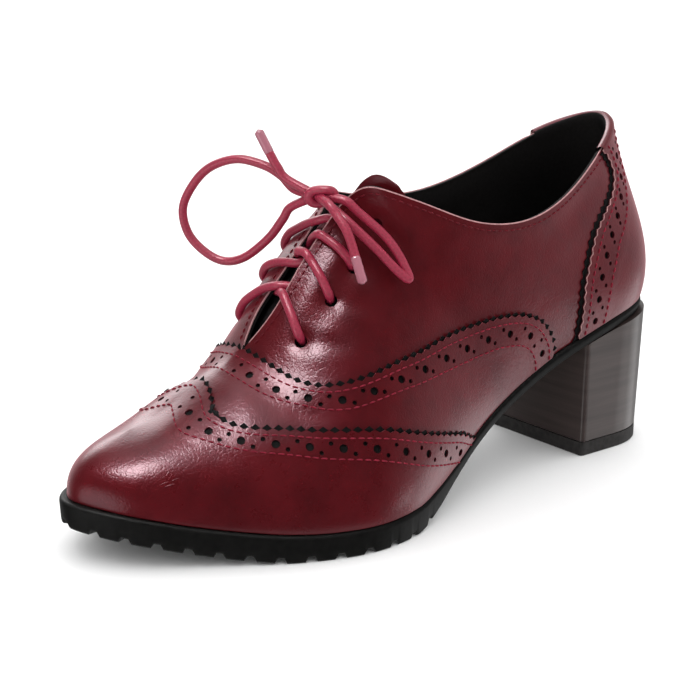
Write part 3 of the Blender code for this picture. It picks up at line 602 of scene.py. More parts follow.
def mesh_object(name, points, faces, looks, slots=None, uv=None):
    """A mesh in the shoe's frame, with a look for each face, riding on the shoe."""
    mesh = bpy.data.meshes.new(name)
    places = (np.asarray(points) + SHIFT) * MM
    mesh.from_pydata(places.tolist(), [], [list(map(int, f)) for f in faces])
    for look in looks:
        mesh.materials.append(look)
    if slots is not None:
        mesh.polygons.foreach_set("material_index", np.asarray(slots, np.int32))
    mesh.polygons.foreach_set("use_smooth", np.full(len(mesh.polygons), True))
    if uv is not None:
        layer = mesh.uv_layers.new(name="UVMap")
        index = np.empty(len(mesh.loops), np.int32)
        mesh.loops.foreach_get("vertex_index", index)
        layer.data.foreach_set("uv", np.asarray(uv)[index].reshape(-1))
    mesh.update()
    obj = bpy.data.objects.new(name, mesh)
    bpy.context.scene.collection.objects.link(obj)
    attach(obj, "root")
    return obj


def spaced(line, step):
    """Evenly spaced points on a line of stations and heights."""
    run = run_along(upper_point(line[:, 0], line[:, 1]))
    count = max(2, round(run[-1] / step))
    at = np.linspace(0.0, run[-1], count + 1)
    return np.column_stack([np.interp(at, run, line[:, 0]), np.interp(at, run, line[:, 1])])


def slopes(u, v):
    """How the upper's face runs with station and height, in mm."""
    du, dv = SLOPE_STEPS
    pu = (upper_point(u + du, v) - upper_point(u - du, v)) / (2 * du)
    pv = (upper_point(u, v + dv) - upper_point(u, v - dv)) / (2 * dv)
    return (pu * pu).sum(-1), (pu * pv).sum(-1), (pv * pv).sum(-1)


def shifted(line, out):
    """A line moved sideways over the upper, to the left of its run."""
    ahead = np.gradient(line, axis=0)
    e, f, g = slopes(line[:, 0], line[:, 1])
    a, b = ahead[:, 0], ahead[:, 1]
    size = np.sqrt(e * a * a + 2 * f * a * b + g * b * b) * np.sqrt(np.maximum(e * g - f * f, 1e-6))
    left = np.column_stack([-(f * a + g * b), e * a + f * b]) / size[:, None]
    return line + left * np.broadcast_to(out, a.shape)[:, None]


def ring(u, v, radius, sides):
    """A circle on the upper, as stations and heights."""
    e, f, g = slopes(np.float64(u), np.float64(v))
    turn = np.arange(sides) * 2 * math.pi / sides
    dv = radius * np.sin(turn) / math.sqrt(g - f * f / e)
    du = (radius * np.cos(turn) - f / math.sqrt(e) * dv) / math.sqrt(e)
    return np.column_stack([u + du, v + dv])


def straight(a, b):
    """Points from one corner of an outline to another, without the last."""
    a, b = np.array(a, float), np.array(b, float)
    count = max(2, int(np.linalg.norm((b - a) * CHART) / SPACING))
    return a + (b - a) * (np.arange(count) / count)[:, None]


def inside(points, loops):
    """Which points an odd number of loops encloses."""
    found = np.zeros(len(points), bool)
    x, y = points[:, 0:1], points[:, 1:2]
    for loop in loops:
        ax, ay = loop[:, 0], loop[:, 1]
        bx, by = np.roll(ax, -1), np.roll(ay, -1)
        rise = np.where(by == ay, 1e-12, by - ay)
        hit = ((ay > y) != (by > y)) & (x < ax + (y - ay) * (bx - ax) / rise)
        found ^= hit.sum(axis=1) % 2 == 1
    return found


def fill(outline, holes):
    """Triangles over an outline, with its holes left open."""
    loops = [np.asarray(loop) * CHART for loop in [outline] + list(holes)]
    edges = []
    count = 0
    for loop in loops:
        edges += [(count + i, count + (i + 1) % len(loop)) for i in range(len(loop))]
        count += len(loop)
    fixed = np.vstack(loops)
    low, high = loops[0].min(axis=0), loops[0].max(axis=0)
    xs = np.arange(low[0], high[0] + SPACING, SPACING)
    ys = np.arange(low[1], high[1] + SPACING, ROW_SPACING)
    grid = np.stack(np.meshgrid(xs, ys, indexing="ij"), -1)
    grid[:, ::2, 0] += 0.5 * SPACING
    grid = grid.reshape(-1, 2)
    grid = grid[inside(grid, loops)]
    near = np.full(len(grid), np.inf)
    for p in fixed:
        near = np.minimum(near, ((grid - p) ** 2).sum(axis=1))
    grid = grid[near > EDGE_CLEAR ** 2]
    points = [Vector(p) for p in np.vstack([fixed, grid])]
    verts, _, faces, _, _, _ = delaunay_2d_cdt(points, edges, [], 1, MERGE)
    verts, faces = np.array([tuple(p) for p in verts]), np.array([list(f) for f in faces])
    faces = faces[inside(verts[faces].mean(axis=1), loops)]
    return verts / CHART, faces


def past_band(points, band, rim, run):
    """0 on a brogue band, rising softly to 1 over a run beyond its second line."""
    found = np.ones(len(points))
    for side in (1, -1):
        near, far = (upper_point(on_side(line[:, 0], side), line[:, 1]) for line in band)
        width = np.linalg.norm(near - far, axis=1)
        away = np.linalg.norm(points[:, None] - near[None], axis=2)
        past = np.clip((away.min(axis=1) - width[away.argmin(axis=1)] - rim) / run, 0.0, 1.0)
        found = np.minimum(found, past * past * (3 - 2 * past))
    return found


def edge_pairs(triangles):
    return np.vstack([triangles[:, [0, 1]], triangles[:, [1, 2]], triangles[:, [2, 0]]])


def open_edges(triangles):
    """The edges of one triangle only, in a fixed order."""
    known = {(p, q) for p, q in edge_pairs(triangles).tolist()}
    rim = np.array([(p, q) for p, q in known if (q, p) not in known])
    return rim[np.lexsort((rim[:, 1], rim[:, 0]))]


def eased(points, triangles, spot, reach):
    """Points near a spot, settled between their neighbours."""
    pairs = np.unique(np.sort(edge_pairs(triangles), axis=1), axis=0)
    ends = np.concatenate([pairs[:, 0], pairs[:, 1]])
    others = np.concatenate([pairs[:, 1], pairs[:, 0]])
    count = np.maximum(np.bincount(ends, minlength=len(points)), 1)[:, None]
    away = np.linalg.norm(points - spot, axis=1)
    share = np.clip(EASE_HOLD - EASE_HOLD * away / reach, 0.0, 1.0)[:, None]
    for _ in range(EASE_PASSES):
        total = np.zeros_like(points)
        np.add.at(total, ends, points[others])
        points = points + share * (total / count - points)
    return points


def both_sides(half, triangles):
    """Stations, heights, places and triangles of a panel's two sides, joined at the ridge and facing out."""
    n = len(half)
    u = np.concatenate([half[:, 0], LOOP - half[:, 0]])
    v = np.concatenate([half[:, 1], half[:, 1]])
    base = upper_point(u, v)
    joined = np.arange(2 * n)
    same = np.linalg.norm(base[:n] - base[n:], axis=1) < JOINED
    joined[n:][same] = np.arange(n)[same]
    triangles = joined[np.vstack([triangles, triangles[:, ::-1] + n])]
    a, b, c = (base[triangles[:, k]] for k in range(3))
    lie = (np.cross(b - a, c - a) * upper_normal(u, v)[triangles[:, 0]]).sum()
    return u, v, base, triangles[:, ::-1] if lie < 0 else triangles


def near_holes(points, middles, reach):
    """Which points lie this near to the middle of a hole, on either side."""
    middles = np.asarray(middles)
    found = np.zeros(len(points), bool)
    for u in (middles[:, 0], LOOP - middles[:, 0]):
        for centre in upper_point(u, middles[:, 1]):
            found |= np.linalg.norm(points - centre, axis=1) < reach
    return found


def panel(name, outline, holes, layer, looks, dark=(), split=0.5, rise=None):
    """A leather panel on both sides of the shoe: looks are face, flesh side, cut edge and its inner part.

    dark holds the middles and the reach of the holes whose edges take the look of the inner part; rise gives
    points of the upper a height of their own.
    """
    u, v, base, triangles = both_sides(*fill(outline, holes))
    rim = open_edges(triangles)
    lift = rise(base) if rise else 0.0
    inner, outer = (face_point(u, v, out + lift) for out in layer)
    if outline[:, 0].min() < SAME:
        inner, outer = (eased(p, triangles, upper_point(0.0, 1.0), EASE_REACH) for p in (inner, outer))
    total = len(u)
    middle = outer + split * (inner - outer)
    points = np.vstack([outer, inner, outer, middle, middle, inner])
    p, q = rim[:, 0], rim[:, 1]
    wall = np.column_stack([q, p, p + total, q + total])
    slots = np.repeat(np.arange(4), [len(triangles), len(triangles), len(rim), len(rim)])
    # Walls round the holes take the inner part's look: painted shade inside the holes
    if len(dark):
        shaded = near_holes(0.5 * (base[p] + base[q]), *dark)
        slots[2 * len(triangles):][np.concatenate([shaded, shaded])] = 3
    faces = triangles.tolist() + (triangles[:, ::-1] + total).tolist()
    faces += (wall + 2 * total).tolist() + (wall + 4 * total).tolist()
    return mesh_object(name, points, faces, looks, slots)


def stitches(name, lines, look):
    """Rows of stitches on both sides: lines are of stations and heights, with a height over the upper."""
    starts, ends, outs = [], [], []
    for line, out in lines:
        points = spaced(line, STITCH)
        for row in (points, np.column_stack([LOOP - points[:, 0], points[:, 1]])):
            starts.append(row[:-1])
            ends.append(row[1:])
            outs.append(np.full(len(row) - 1, out))
    starts, ends, outs = np.vstack(starts), np.vstack(ends), np.concatenate(outs)
    lift, thick = np.array(STITCH_RINGS).T
    share = np.linspace(*STITCH_SPAN, len(lift))
    u, v = np.moveaxis(starts[:, None, :] + (ends - starts)[:, None, :] * share[None, :, None], -1, 0)
    middle = face_point(u, v, outs[:, None] + lift[None, :])
    up = upper_normal(u, v)
    side = unit(np.cross(np.gradient(middle, axis=1), up))
    turn = (np.arange(STITCH_SIDES) * 2 * math.pi / STITCH_SIDES)[None, None, :, None]
    spokes = np.cos(turn) * side[:, :, None, :] + np.sin(turn) * up[:, :, None, :]
    rings = middle[:, :, None, :] + (thick * STITCH_D / 2)[None, :, None, None] * spokes
    index = np.arange(rings.size // 3).reshape(rings.shape[:3])
    after = np.roll(index, -1, axis=2)
    quads = np.stack([index[:, :-1], after[:, :-1], after[:, 1:], index[:, 1:]], -1).reshape(-1, 4)
    caps = np.vstack([index[:, 0, ::-1], index[:, -1]])
    return mesh_object(name, rings.reshape(-1, 3), quads.tolist() + caps.tolist(), [look])


def skin(count, row, closed=False):
    """Quads between rings of points, with this many points in each."""
    faces = []
    for k in range(count - 1):
        for i in range(row if closed else row - 1):
            j = (i + 1) % row
            faces.append([k * row + i, k * row + j, (k + 1) * row + j, (k + 1) * row + i])
    return faces


def lid(k, row):
    """Faces across ring k, from its middle point at the toe back to its ends."""
    middle = k * row + row // 2
    faces = [[middle, middle + 1, middle - 1]]
    for i in range(1, row // 2):
        faces.append([middle + i, middle + i + 1, middle - i - 1, middle - i])
    return faces


def loft(name, rings, looks, slot_of=None):
    """Rings of equal length joined to a closed skin; slot_of gives a look for the span after a ring."""
    count = len(rings[0])
    faces = skin(len(rings), count, closed=True)
    slots = [slot_of(*divmod(k, count)) if slot_of else 0 for k in range(len(faces))]
    faces.append(list(range(count))[::-1])
    faces.append([(len(rings) - 1) * count + i for i in range(count)])
    return mesh_object(name, np.vstack(rings), faces, looks, slots + [0, 0])


def tube(name, path, diameter, look, sides=TUBE_SIDES):
    """A round cord along a path, with rounded ends and a UV map in mm along and turns around."""
    path = np.asarray(path, float)
    ahead = unit(np.gradient(path, axis=0))
    run = run_along(path)
    ends = np.clip(np.minimum(run, run[-1] - run) / (TUBE_END * diameter), 0, 1)
    size = diameter / 2 * np.sqrt(np.clip(1 - (1 - ends) ** 2, TUBE_TIP, 1))
    side = np.cross(ahead[0], TUBE_UP)
    turn = np.arange(sides + 1) * 2 * math.pi / sides
    points, uv = [], []
    for k, (p, t) in enumerate(zip(path, ahead)):
        side = unit(side - t * np.dot(side, t))
        up = np.cross(t, side)
        points += [p + size[k] * (math.cos(a) * side + math.sin(a) * up) for a in turn]
        uv += [(run[k], a / (2 * math.pi)) for a in turn]
    row = sides + 1
    faces = skin(len(path), row)
    faces.append(list(range(sides))[::-1])
    faces.append([(len(path) - 1) * row + i for i in range(sides)])
    return mesh_object(name, points, faces, [look], uv=uv)


# Materials

# Values on the sockets of the shaders
POLISH = {
    "Coat Weight": 0.32,
    "Coat Roughness": 0.12,
    "Specular IOR Level": 0.4,
    "Specular Tint": (1.0, 0.55, 0.67, 1.0),
    "Sheen Weight": 0.36,
    "Sheen Roughness": 0.4,
    "Sheen Tint": (1.0, 0.27, 0.34, 1.0),
}
MATTE = {"Specular IOR Level": 0.15}
DULL_RUBBER = {"Specular IOR Level": 0.14}
SATIN = {"Coat Weight": 0.25, "Coat Roughness": 0.2}
WAX = {"Coat Weight": 0.3, "Coat Roughness": 0.28}
CLEAR = {"Transmission Weight": 0.25, "Coat Weight": 0.4}
DULL_FLOOR = {"Specular IOR Level": 0.2}

# Noises: scale per metre, detail, roughness
CLOUDS = (55.0, 4.0, 0.6)
WEAR = (160.0, 5.0, 0.65)
DENTS = (70.0, 2.0, 0.5)
WARP = (220.0, 2.0, 0.5)
NAP = (900.0, 3.0, 0.5)
MOTTLE = (500.0, 4.0, 0.5)
STREAKS = (1.0, 5.0, 0.6)

# Other textures
WEAR_SPREAD = (-0.07, 0.09)  # of the leather's roughness
CRACK_SCALE = 560.0
CRACK_WARP = (0.004, 0.004, 0.004)  # metres that the warp moves the cracks by
CRACK_LINE = 0.12       # width of a crack, in cells
GRAIN_SCALE = 1700.0
LAYERS = (18.0, 18.0, 420.0)  # scale of the heel's streaks, thin upwards
BRAID_ALONG = 4.2       # radians per mm
BRAID_AROUND = 4        # waves
TREAD_RIBS = 130.0

# Bumps: strength, height in metres
DENT_BUMP = (0.12, 0.0012)
CRACK_BUMP = (0.085, 0.0003)
GRAIN_BUMP = (0.08, 0.0002)
NAP_BUMP = (0.25, 0.0002)
MOTTLE_BUMP = (0.15, 0.0002)
RIB_BUMP = (0.5, 0.0006)
STREAK_BUMP = (0.12, 0.0003)
BRAID_BUMP = (0.12, 0.0002)

# Places of colours on a ramp, or places and shares of one colour
CLOUD_STOPS = (0.25, 0.55, 0.85)
STREAK_STOPS = (0.3, 0.75)
NAP_TINTS = ((0.3, 0.75), (0.7, 1.25))
MOTTLE_TINTS = ((0.3, 0.7), (0.75, 1.5))
BRAID_TINTS = ((0.25, 0.85), (0.75, 1.06))


def shader(name, colour, rough, values):
    """A Principled material with plain values on its sockets."""
    made = bpy.data.materials.new(name)
    made.use_nodes = True
    sockets = made.node_tree.nodes["Principled BSDF"].inputs
    for key, value in {"Base Color": (*colour, 1.0), "Roughness": rough, **values}.items():
        sockets[key].default_value = value
    made.diffuse_color = (*colour, 1.0)
    return made


def add_node(made, kind, inputs=None, **settings):
    node = made.node_tree.nodes.new(kind)
    for key, value in settings.items():
        setattr(node, key, value)
    for key, value in (inputs or {}).items():
        if isinstance(value, bpy.types.NodeSocket):
            made.node_tree.links.new(value, node.inputs[key])
        else:
            node.inputs[key].default_value = value
    return node


def feed(made, socket, key):
    made.node_tree.links.new(socket, made.node_tree.nodes["Principled BSDF"].inputs[key])


def coordinates(made, kind):
    return add_node(made, "ShaderNodeTexCoord").outputs[kind]


def noise(made, place, kind, output="Fac"):
    scale, detail, rough = kind
    inputs = {"Vector": place, "Scale": scale, "Detail": detail, "Roughness": rough}
    return add_node(made, "ShaderNodeTexNoise", inputs).outputs[output]


def cells(made, place, scale, feature):
    inputs = {"Vector": place, "Scale": scale}
    return add_node(made, "ShaderNodeTexVoronoi", inputs, feature=feature).outputs["Distance"]


def maths(made, operation, *values):
    return add_node(made, "ShaderNodeMath", dict(enumerate(values)), operation=operation).outputs["Value"]


def vector_maths(made, operation, a, b):
    outputs = add_node(made, "ShaderNodeVectorMath", {0: a, 1: b}, operation=operation).outputs
    return outputs["Value" if operation == "DOT_PRODUCT" else "Vector"]


def between(made, value, span, low=0.0, high=1.0):
    """Goes from low to high while the value goes through its span."""
    inputs = {"Value": value, "From Min": span[0], "From Max": span[1], "To Min": low, "To Max": high}
    return add_node(made, "ShaderNodeMapRange", inputs).outputs["Result"]


def colour_ramp(made, factor, places, colours):
    """Feeds the base colour from a ramp."""
    node = add_node(made, "ShaderNodeValToRGB", {"Fac": factor})
    band = node.color_ramp
    while len(band.elements) < len(places):
        band.elements.new(0.5)
    for element, place, colour in zip(band.elements, places, colours):
        element.position = place
        element.color = (*colour, 1.0)
    feed(made, node.outputs["Color"], "Base Color")


def tinted(made, factor, colour, tints):
    """Feeds the base colour with shares of one colour."""
    places, shares = zip(*tints)
    colour_ramp(made, factor, places, [[min(1.0, share * c) for c in colour] for share in shares])


def bump(made, height, kind, under=None):
    inputs = {"Height": height, "Strength": kind[0], "Distance": kind[1]}
    if under is not None:
        inputs["Normal"] = under
    return add_node(made, "ShaderNodeBump", inputs).outputs["Normal"]


def leather(name, rough):
    """Polished leather: clouded colour, soft dents, fine creases and grain under a coat."""
    made = shader(name, RED, rough, POLISH)
    place = coordinates(made, "Object")
    colour_ramp(made, noise(made, place, CLOUDS), CLOUD_STOPS, (RED_DARK, RED, RED_LIGHT))
    low, high = (rough + spread for spread in WEAR_SPREAD)
    feed(made, between(made, noise(made, place, WEAR), (0.0, 1.0), low, high), "Roughness")
    warp = vector_maths(made, "MULTIPLY", noise(made, place, WARP, "Color"), CRACK_WARP)
    cracks = cells(made, vector_maths(made, "ADD", place, warp), CRACK_SCALE, "DISTANCE_TO_EDGE")
    normal = bump(made, noise(made, place, DENTS), DENT_BUMP)
    normal = bump(made, between(made, cracks, (0.0, CRACK_LINE)), CRACK_BUMP, normal)
    normal = bump(made, cells(made, place, GRAIN_SCALE, "F1"), GRAIN_BUMP, normal)
    feed(made, normal, "Normal")
    feed(made, normal, "Coat Normal")
    return made


def plain_leather(name, colour, rough):
    """Trim, cut edges, the painted shade of hole walls, lining and thread: matte, with a fine nap."""
    made = shader(name, colour, rough, MATTE)
    nap = noise(made, coordinates(made, "Object"), NAP)
    tinted(made, nap, colour, NAP_TINTS)
    feed(made, bump(made, nap, NAP_BUMP), "Normal")
    return made


def rubber(name, colour, rough, ribs=0.0):
    """Sole rubber: near black, faintly mottled, with ribs under the foot where asked."""
    made = shader(name, colour, rough, DULL_RUBBER)
    place = coordinates(made, "Object")
    mottle = noise(made, place, MOTTLE)
    tinted(made, mottle, colour, MOTTLE_TINTS)
    normal = bump(made, mottle, MOTTLE_BUMP)
    if ribs:
        wave = add_node(made, "ShaderNodeTexWave", {"Vector": place, "Scale": ribs}, bands_direction="Y")
        normal = bump(made, wave.outputs["Fac"], RIB_BUMP, normal)
    feed(made, normal, "Normal")
    return made


def stacked(name, dark, light, rough):
    """The heel's block: thin level streaks, as of stacked layers."""
    made = shader(name, dark, rough, SATIN)
    place = coordinates(made, "Object")
    flat = add_node(made, "ShaderNodeMapping", {"Vector": place, "Scale": LAYERS}).outputs["Vector"]
    streak = noise(made, flat, STREAKS)
    colour_ramp(made, streak, STREAK_STOPS, (dark, light))
    feed(made, bump(made, streak, STREAK_BUMP), "Normal")
    return made


def cord_look(name, colour, rough):
    """Waxed round cord: a fine braid from the tube's own map."""
    made = shader(name, colour, rough, WAX)
    split = add_node(made, "ShaderNodeSeparateXYZ", {"Vector": coordinates(made, "UV")}).outputs
    along = maths(made, "MULTIPLY", split["X"], BRAID_ALONG)
    waves = []
    for way in (1, -1):
        around = maths(made, "MULTIPLY", split["Y"], way * BRAID_AROUND * 2 * math.pi)
        waves.append(maths(made, "SINE", maths(made, "ADD", along, around)))
    braid = between(made, maths(made, "MAXIMUM", *waves), (-1.0, 1.0))
    tinted(made, braid, colour, BRAID_TINTS)
    feed(made, bump(made, braid, BRAID_BUMP), "Normal")
    return made


RED_DARK = (0.043, 0.0014, 0.0022)
RED = (0.071, 0.0022, 0.0038)
RED_LIGHT = (0.096, 0.0033, 0.0056)
LINING_BLACK = (0.007, 0.006, 0.006)
TRIM_BLACK = (0.004, 0.004, 0.004)
PALE = (0.5, 0.27, 0.27)
RAW = (0.4, 0.21, 0.215)
CUT_RED = (0.24, 0.06, 0.07)
HOLE_SHADE_RED = (0.045, 0.005, 0.008)
THREAD = (0.2, 0.011, 0.026)
DEEP_THREAD = (0.11, 0.006, 0.012)
SOLE_BLACK = (0.0045, 0.0043, 0.004)
TREAD_BLACK = (0.0105, 0.0102, 0.01)
TIP_GREY = (0.026, 0.024, 0.0235)
HEEL_DARK = (0.03, 0.0195, 0.018)
HEEL_LIGHT = (0.054, 0.038, 0.035)
LACE = (0.29, 0.016, 0.045)
TAG_PINK = (0.46, 0.17, 0.22)
FLOOR_WHITE = (0.9, 0.9, 0.9)

# Looks of the pieces, with their roughness
LOOKS = {
    "leather": leather("burgundy_leather", 0.3),
    "cap": leather("burgundy_cap", 0.28),
    "lining": plain_leather("black_lining", LINING_BLACK, 0.75),
    "trim": plain_leather("black_trim", TRIM_BLACK, 0.75),
    "pale": plain_leather("pale_cut_edge", PALE, 0.6),
    "raw": plain_leather("raw_edge", RAW, 0.6),
    "cut": plain_leather("red_cut_edge", CUT_RED, 0.6),
    # painted shade: a dark red for the walls of the brogue holes and for the panels' flesh side
    "shade": plain_leather("painted_hole_shade", HOLE_SHADE_RED, 0.6),
    "thread": plain_leather("red_thread", THREAD, 0.5),
    "collar_thread": plain_leather("deep_red_thread", DEEP_THREAD, 0.5),
    "sole": rubber("sole_rubber", SOLE_BLACK, 0.5),
    "tread": rubber("tread_rubber", TREAD_BLACK, 0.55, TREAD_RIBS),
    "heel": stacked("stacked_heel", HEEL_DARK, HEEL_LIGHT, 0.34),
    "tip": rubber("top_piece_rubber", TIP_GREY, 0.55),
    "lace": cord_look("waxed_lace", LACE, 0.42),
    "tag": shader("pink_aglet", TAG_PINK, 0.22, CLEAR),
}


# Upper and its panels

def band_lines(rows):
    """A brogue band as two matched lines, the edge and the inner stitches."""
    dense = smooth_path(rows, BAND_SPANS)
    return np.clip(dense[:, :2], -1, BACK + 1), dense[:, 2:]


def at_share(band, share):
    edge, inner = band
    return edge + share * (inner - edge)


def toothed(line, pitch, depth, out, side, first=0):
    """A line cut to pointed teeth, its ends left on the ridge and the sole."""
    points = spaced(line, pitch / 2)
    offset = side * (out + depth * ((np.arange(len(points)) + first) % 2 - 0.5))
    moved = shifted(points, offset)
    moved[0, 1] = line[0, 1]
    moved[-1, 1] = line[-1, 1]
    moved[:, 1] = np.clip(moved[:, 1], 0.0, max(1.0, line[0, 1]))
    return moved


def evenly(row, count):
    """A row of points drawn again with this many."""
    at, known = np.linspace(0, 1, count), np.linspace(0, 1, len(row))
    return np.column_stack([np.interp(at, known, row[:, k]) for k in (0, 1)])


def punched(band, span, pitch):
    """The brogue holes of a band: big ones in a row, with pairs of small ones between them."""
    rows = [spaced(at_share(band, share), pitch / 2) for share in (HOLE_ROW, *PAIR_ROWS)]
    count = min(len(row) for row in rows)
    big, *pair = (evenly(row, count) for row in rows)
    loops, middles = [], []
    for k in range(count):
        for row in pair if k % 2 else [big]:
            u, v = row[k]
            if span[0] < v < span[1]:
                loops.append(ring(u, v, (PAIR_D if k % 2 else HOLE_D) / 2, HOLE_SIDES[k % 2]))
                middles.append((u, v))
    return loops, np.array(middles)


def band_step(band):
    """The soft step down behind a band's inner stitches."""
    return lambda points: -BAND_STEP * past_band(points, band, BAND_RIM, BAND_STEP_RUN)


def brogued(name, outline, band, layer, looks, span=HOLE_SPAN, pitch=HOLE_PITCH):
    """A panel with brogue holes and a raised band along its edge."""
    holes, middles = punched(band, span, pitch)
    looks = [LOOKS[key] for key in looks]
    return panel(name, outline, holes, layer, looks, (middles, HOLE_D * SHADE_REACH), rise=band_step(band))


def cap_piece(wing):
    edge = toothed(wing[0], TOOTH, TOOTH_DEPTH, 0.0, 1)
    outline = np.vstack([
        straight((0, 0), edge[-1]), edge[::-1][:-1], straight(edge[0], (0, 1)), straight((0, 1), (0, 0)),
    ])
    made = brogued("toe_cap_leather", outline, wing, CAP_LAYER, ("cap", "shade", "cut", "shade"))
    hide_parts("toe_cap")


def trim_piece(name, band, layer, side, top, out, lift):
    """The black pinked strip that shows beyond a panel's edge and through its holes."""
    edge = toothed(band[0], TOOTH, TRIM_DEPTH, out, side, 1)
    inner = at_share(band, TRIM_IN)[::TRIM_SKIP]
    inner[:, 1] = np.clip(inner[:, 1], 0.0, top)
    inner[0, 1] = edge[0, 1]
    foot = (inner[-1][0], 0.0)
    outline = np.vstack([
        edge[:-1], straight(edge[-1], foot), inner[::-1][:-1], straight(inner[0], edge[0]),
    ])
    outline[:, 1] = np.clip(outline[:, 1], 0.0, top)

    def rise(points):
        return lift * past_band(points, band[::-1], 0.0, out)

    panel(name, outline, [], layer, [LOOKS["trim"]] * 4, rise=rise)


def vamp_piece(wing, vamp):
    edge = toothed(vamp[0], TOOTH, TOOTH_DEPTH, 0.0, 1)
    under = at_share(wing, VAMP_IN)[::VAMP_SKIP]
    foot = (under[-1][0], 0.0)
    outline = np.vstack([
        straight(foot, edge[-1]), edge[::-1][:-1], straight(edge[0], under[0]), under[:-1],
    ])
    outline[:, 1] = np.clip(outline[:, 1], 0.0, 1.0)
    made = brogued("vamp_leather", outline, vamp, VAMP_LAYER, ("leather", "shade", "cut", "shade"))
    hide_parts("vamp")


def counter_piece(counter):
    edge = toothed(counter[0], TOOTH, TOOTH_DEPTH, 0.0, -1)
    foot, top = (BACK, 0), (BACK, edge[0, 1])
    outline = np.vstack([
        edge[:-1], straight(edge[-1], foot), straight(foot, top), straight(top, edge[0]),
    ])
    looks = ("leather", "shade", "pale", "shade")
    made = brogued(
        "counter_leather", outline, counter, COUNTER_LAYER, looks, COUNTER_HOLE_SPAN, COUNTER_PITCH
    )
    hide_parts("heel_counter")


def upper_piece():
    corners = [(0, 0), (BACK, 0), (BACK, 1), (THROAT, 1), (0, 1), (0, 0)]
    outline = np.vstack([straight(a, b) for a, b in zip(corners, corners[1:])])
    holes = [ring(u, v, EYELET_D / 2, EYELET_SIDES) for u, v in EYELETS]
    looks = [LOOKS[key] for key in ("leather", "lining", "pale", "lining")]
    # The eyelets' walls take the lining's black all through, as painted shade inside them
    dark = (EYELETS, EYELET_D * SHADE_REACH)
    made = panel("upper_leather", outline, holes, (-WALL, 0.0), looks, dark, PALE_SHARE)
    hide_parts("upper")


def topline_fold():
    """The counter's leather folded over the collar at the back."""
    u = np.linspace(FOLD_START, LOOP - FOLD_START, FOLD_COUNT)
    rings = [face_point(u, np.full(len(u), v), np.full(len(u), out)) for v, out, _ in FOLD]
    looks = ["leather", "lining"]
    slots = np.repeat([looks.index(look) for _, _, look in FOLD[:-1]], len(u) - 1)
    faces = skin(len(rings), len(u))
    mesh_object("topline_fold", np.vstack(rings), faces, [LOOKS[key] for key in looks], slots)


def edge_beads():
    """The pale raw edge that shows along facings and collar."""
    u = np.linspace(*RAW_EDGE_RUN, RAW_EDGE_COUNT)
    for name, stations in (("outer_raw_edge", u), ("inner_raw_edge", LOOP - u)):
        path = face_point(stations, np.full(len(u), 1.0), -RAW_EDGE_IN)
        tube(name, path, RAW_EDGE_D, LOOKS["raw"], THIN_SIDES)


def toe_scuff():
    """Fine scratches in the toe cap's polish."""
    share = np.linspace(0, 1, SCUFF_COUNT)
    sag = SCUFF_SAG * np.sin(math.pi * share)
    out = CAP_LAYER[1] - BAND_STEP - SCUFF_IN
    for k, (u0, v0, u1, v1) in enumerate(SCUFFS):
        path = face_point(u0 + share * (u1 - u0), v0 + share * (v1 - v0) + sag, out)
        tube(f"toe_scuff_{k + 1}", path, SCUFF_D, LOOKS["cap"], THIN_SIDES)


def seam_stitches(wing, vamp, counter):
    seams = ((wing, CAP_LAYER), (vamp, VAMP_LAYER), (counter, COUNTER_LAYER))
    lines = [(at_share(band, share), layer[1]) for band, layer in seams for share in (UPPER_STITCH, 1.0)]
    stitches("seam_stitches", lines, LOOKS["thread"])
    stitches("collar_stitches", [(smooth_path(COLLAR_STITCHES, COLLAR_SPANS), 0.0)], LOOKS["collar_thread"])


def tongue_section(outer, outer_edge, inner, inner_edge, out):
    """Points across the tongue under both facings, from the outer side to the inner."""
    under, over = TONGUE_COUNT
    sides = []
    for station, edge in ((outer, outer_edge), (LOOP - inner, inner_edge)):
        u, v = np.full(under, station), np.linspace(edge, TONGUE_INNERMOST, under)
        sides.append(upper_point(u, v) + upper_normal(u, v) * out)
    near, far = sides
    handle = TONGUE_BOW * np.linalg.norm(near[-1] - far[-1])
    start, end = (unit(line[-1] - line[-2]) * handle for line in (near, far))
    middle = []
    for s in np.linspace(0, 1, over)[1:-1]:
        middle.append(
            (1 + 2 * s) * (1 - s) ** 2 * near[-1] + s * (1 - s) ** 2 * start
            + s * s * (3 - 2 * s) * far[-1] - s * s * (s - 1) * end
        )
    return np.vstack([near, middle, far[::-1]])


def tongue_piece():
    rows = []
    for row in TONGUE_SIDES:
        face = tongue_section(*row, -TONGUE_UNDER)
        back = tongue_section(*row, -TONGUE_UNDER - TONGUE)
        rows.append(np.vstack([face, back[::-1]]))
    lift = np.zeros_like(rows[-1])
    across, rise = np.array(TONGUE_LIFT).T
    half = through(across, rise, np.linspace(0, 1, len(face)))
    lift[:, 2] = np.concatenate([half, half[::-1]])
    last = rows[-1]
    rows += [last + 0.5 * lift, last + lift]
    count = len(last)
    rings = smooth_path(np.array(rows).reshape(len(rows), -1), TONGUE_SPANS).reshape(-1, count, 3)

    # Faces below the red rows take the lining's black: partly the lining, partly painted shade in the throat
    def look(k, i):
        return 1 if i < count // 2 and k >= TONGUE_SPANS * TONGUE_RED else 0

    made = loft("tongue_leather", list(rings), [LOOKS["lining"], LOOKS["leather"]], look)
    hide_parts("tongue")


# Sole, heel and insole

def lug_places(rows):
    """Run along the feather line for fine stations, and the middles of the gaps between lugs."""
    fine = np.linspace(-LUG_LAST, LUG_LAST, LUG_COUNT)
    run = run_along(round_loop(rows, fine))
    count = int(run[-1] / LUG_PITCH)
    return fine, run, 0.5 * run[-1] + (np.arange(count + 1) - 0.5 * count) * LUG_PITCH


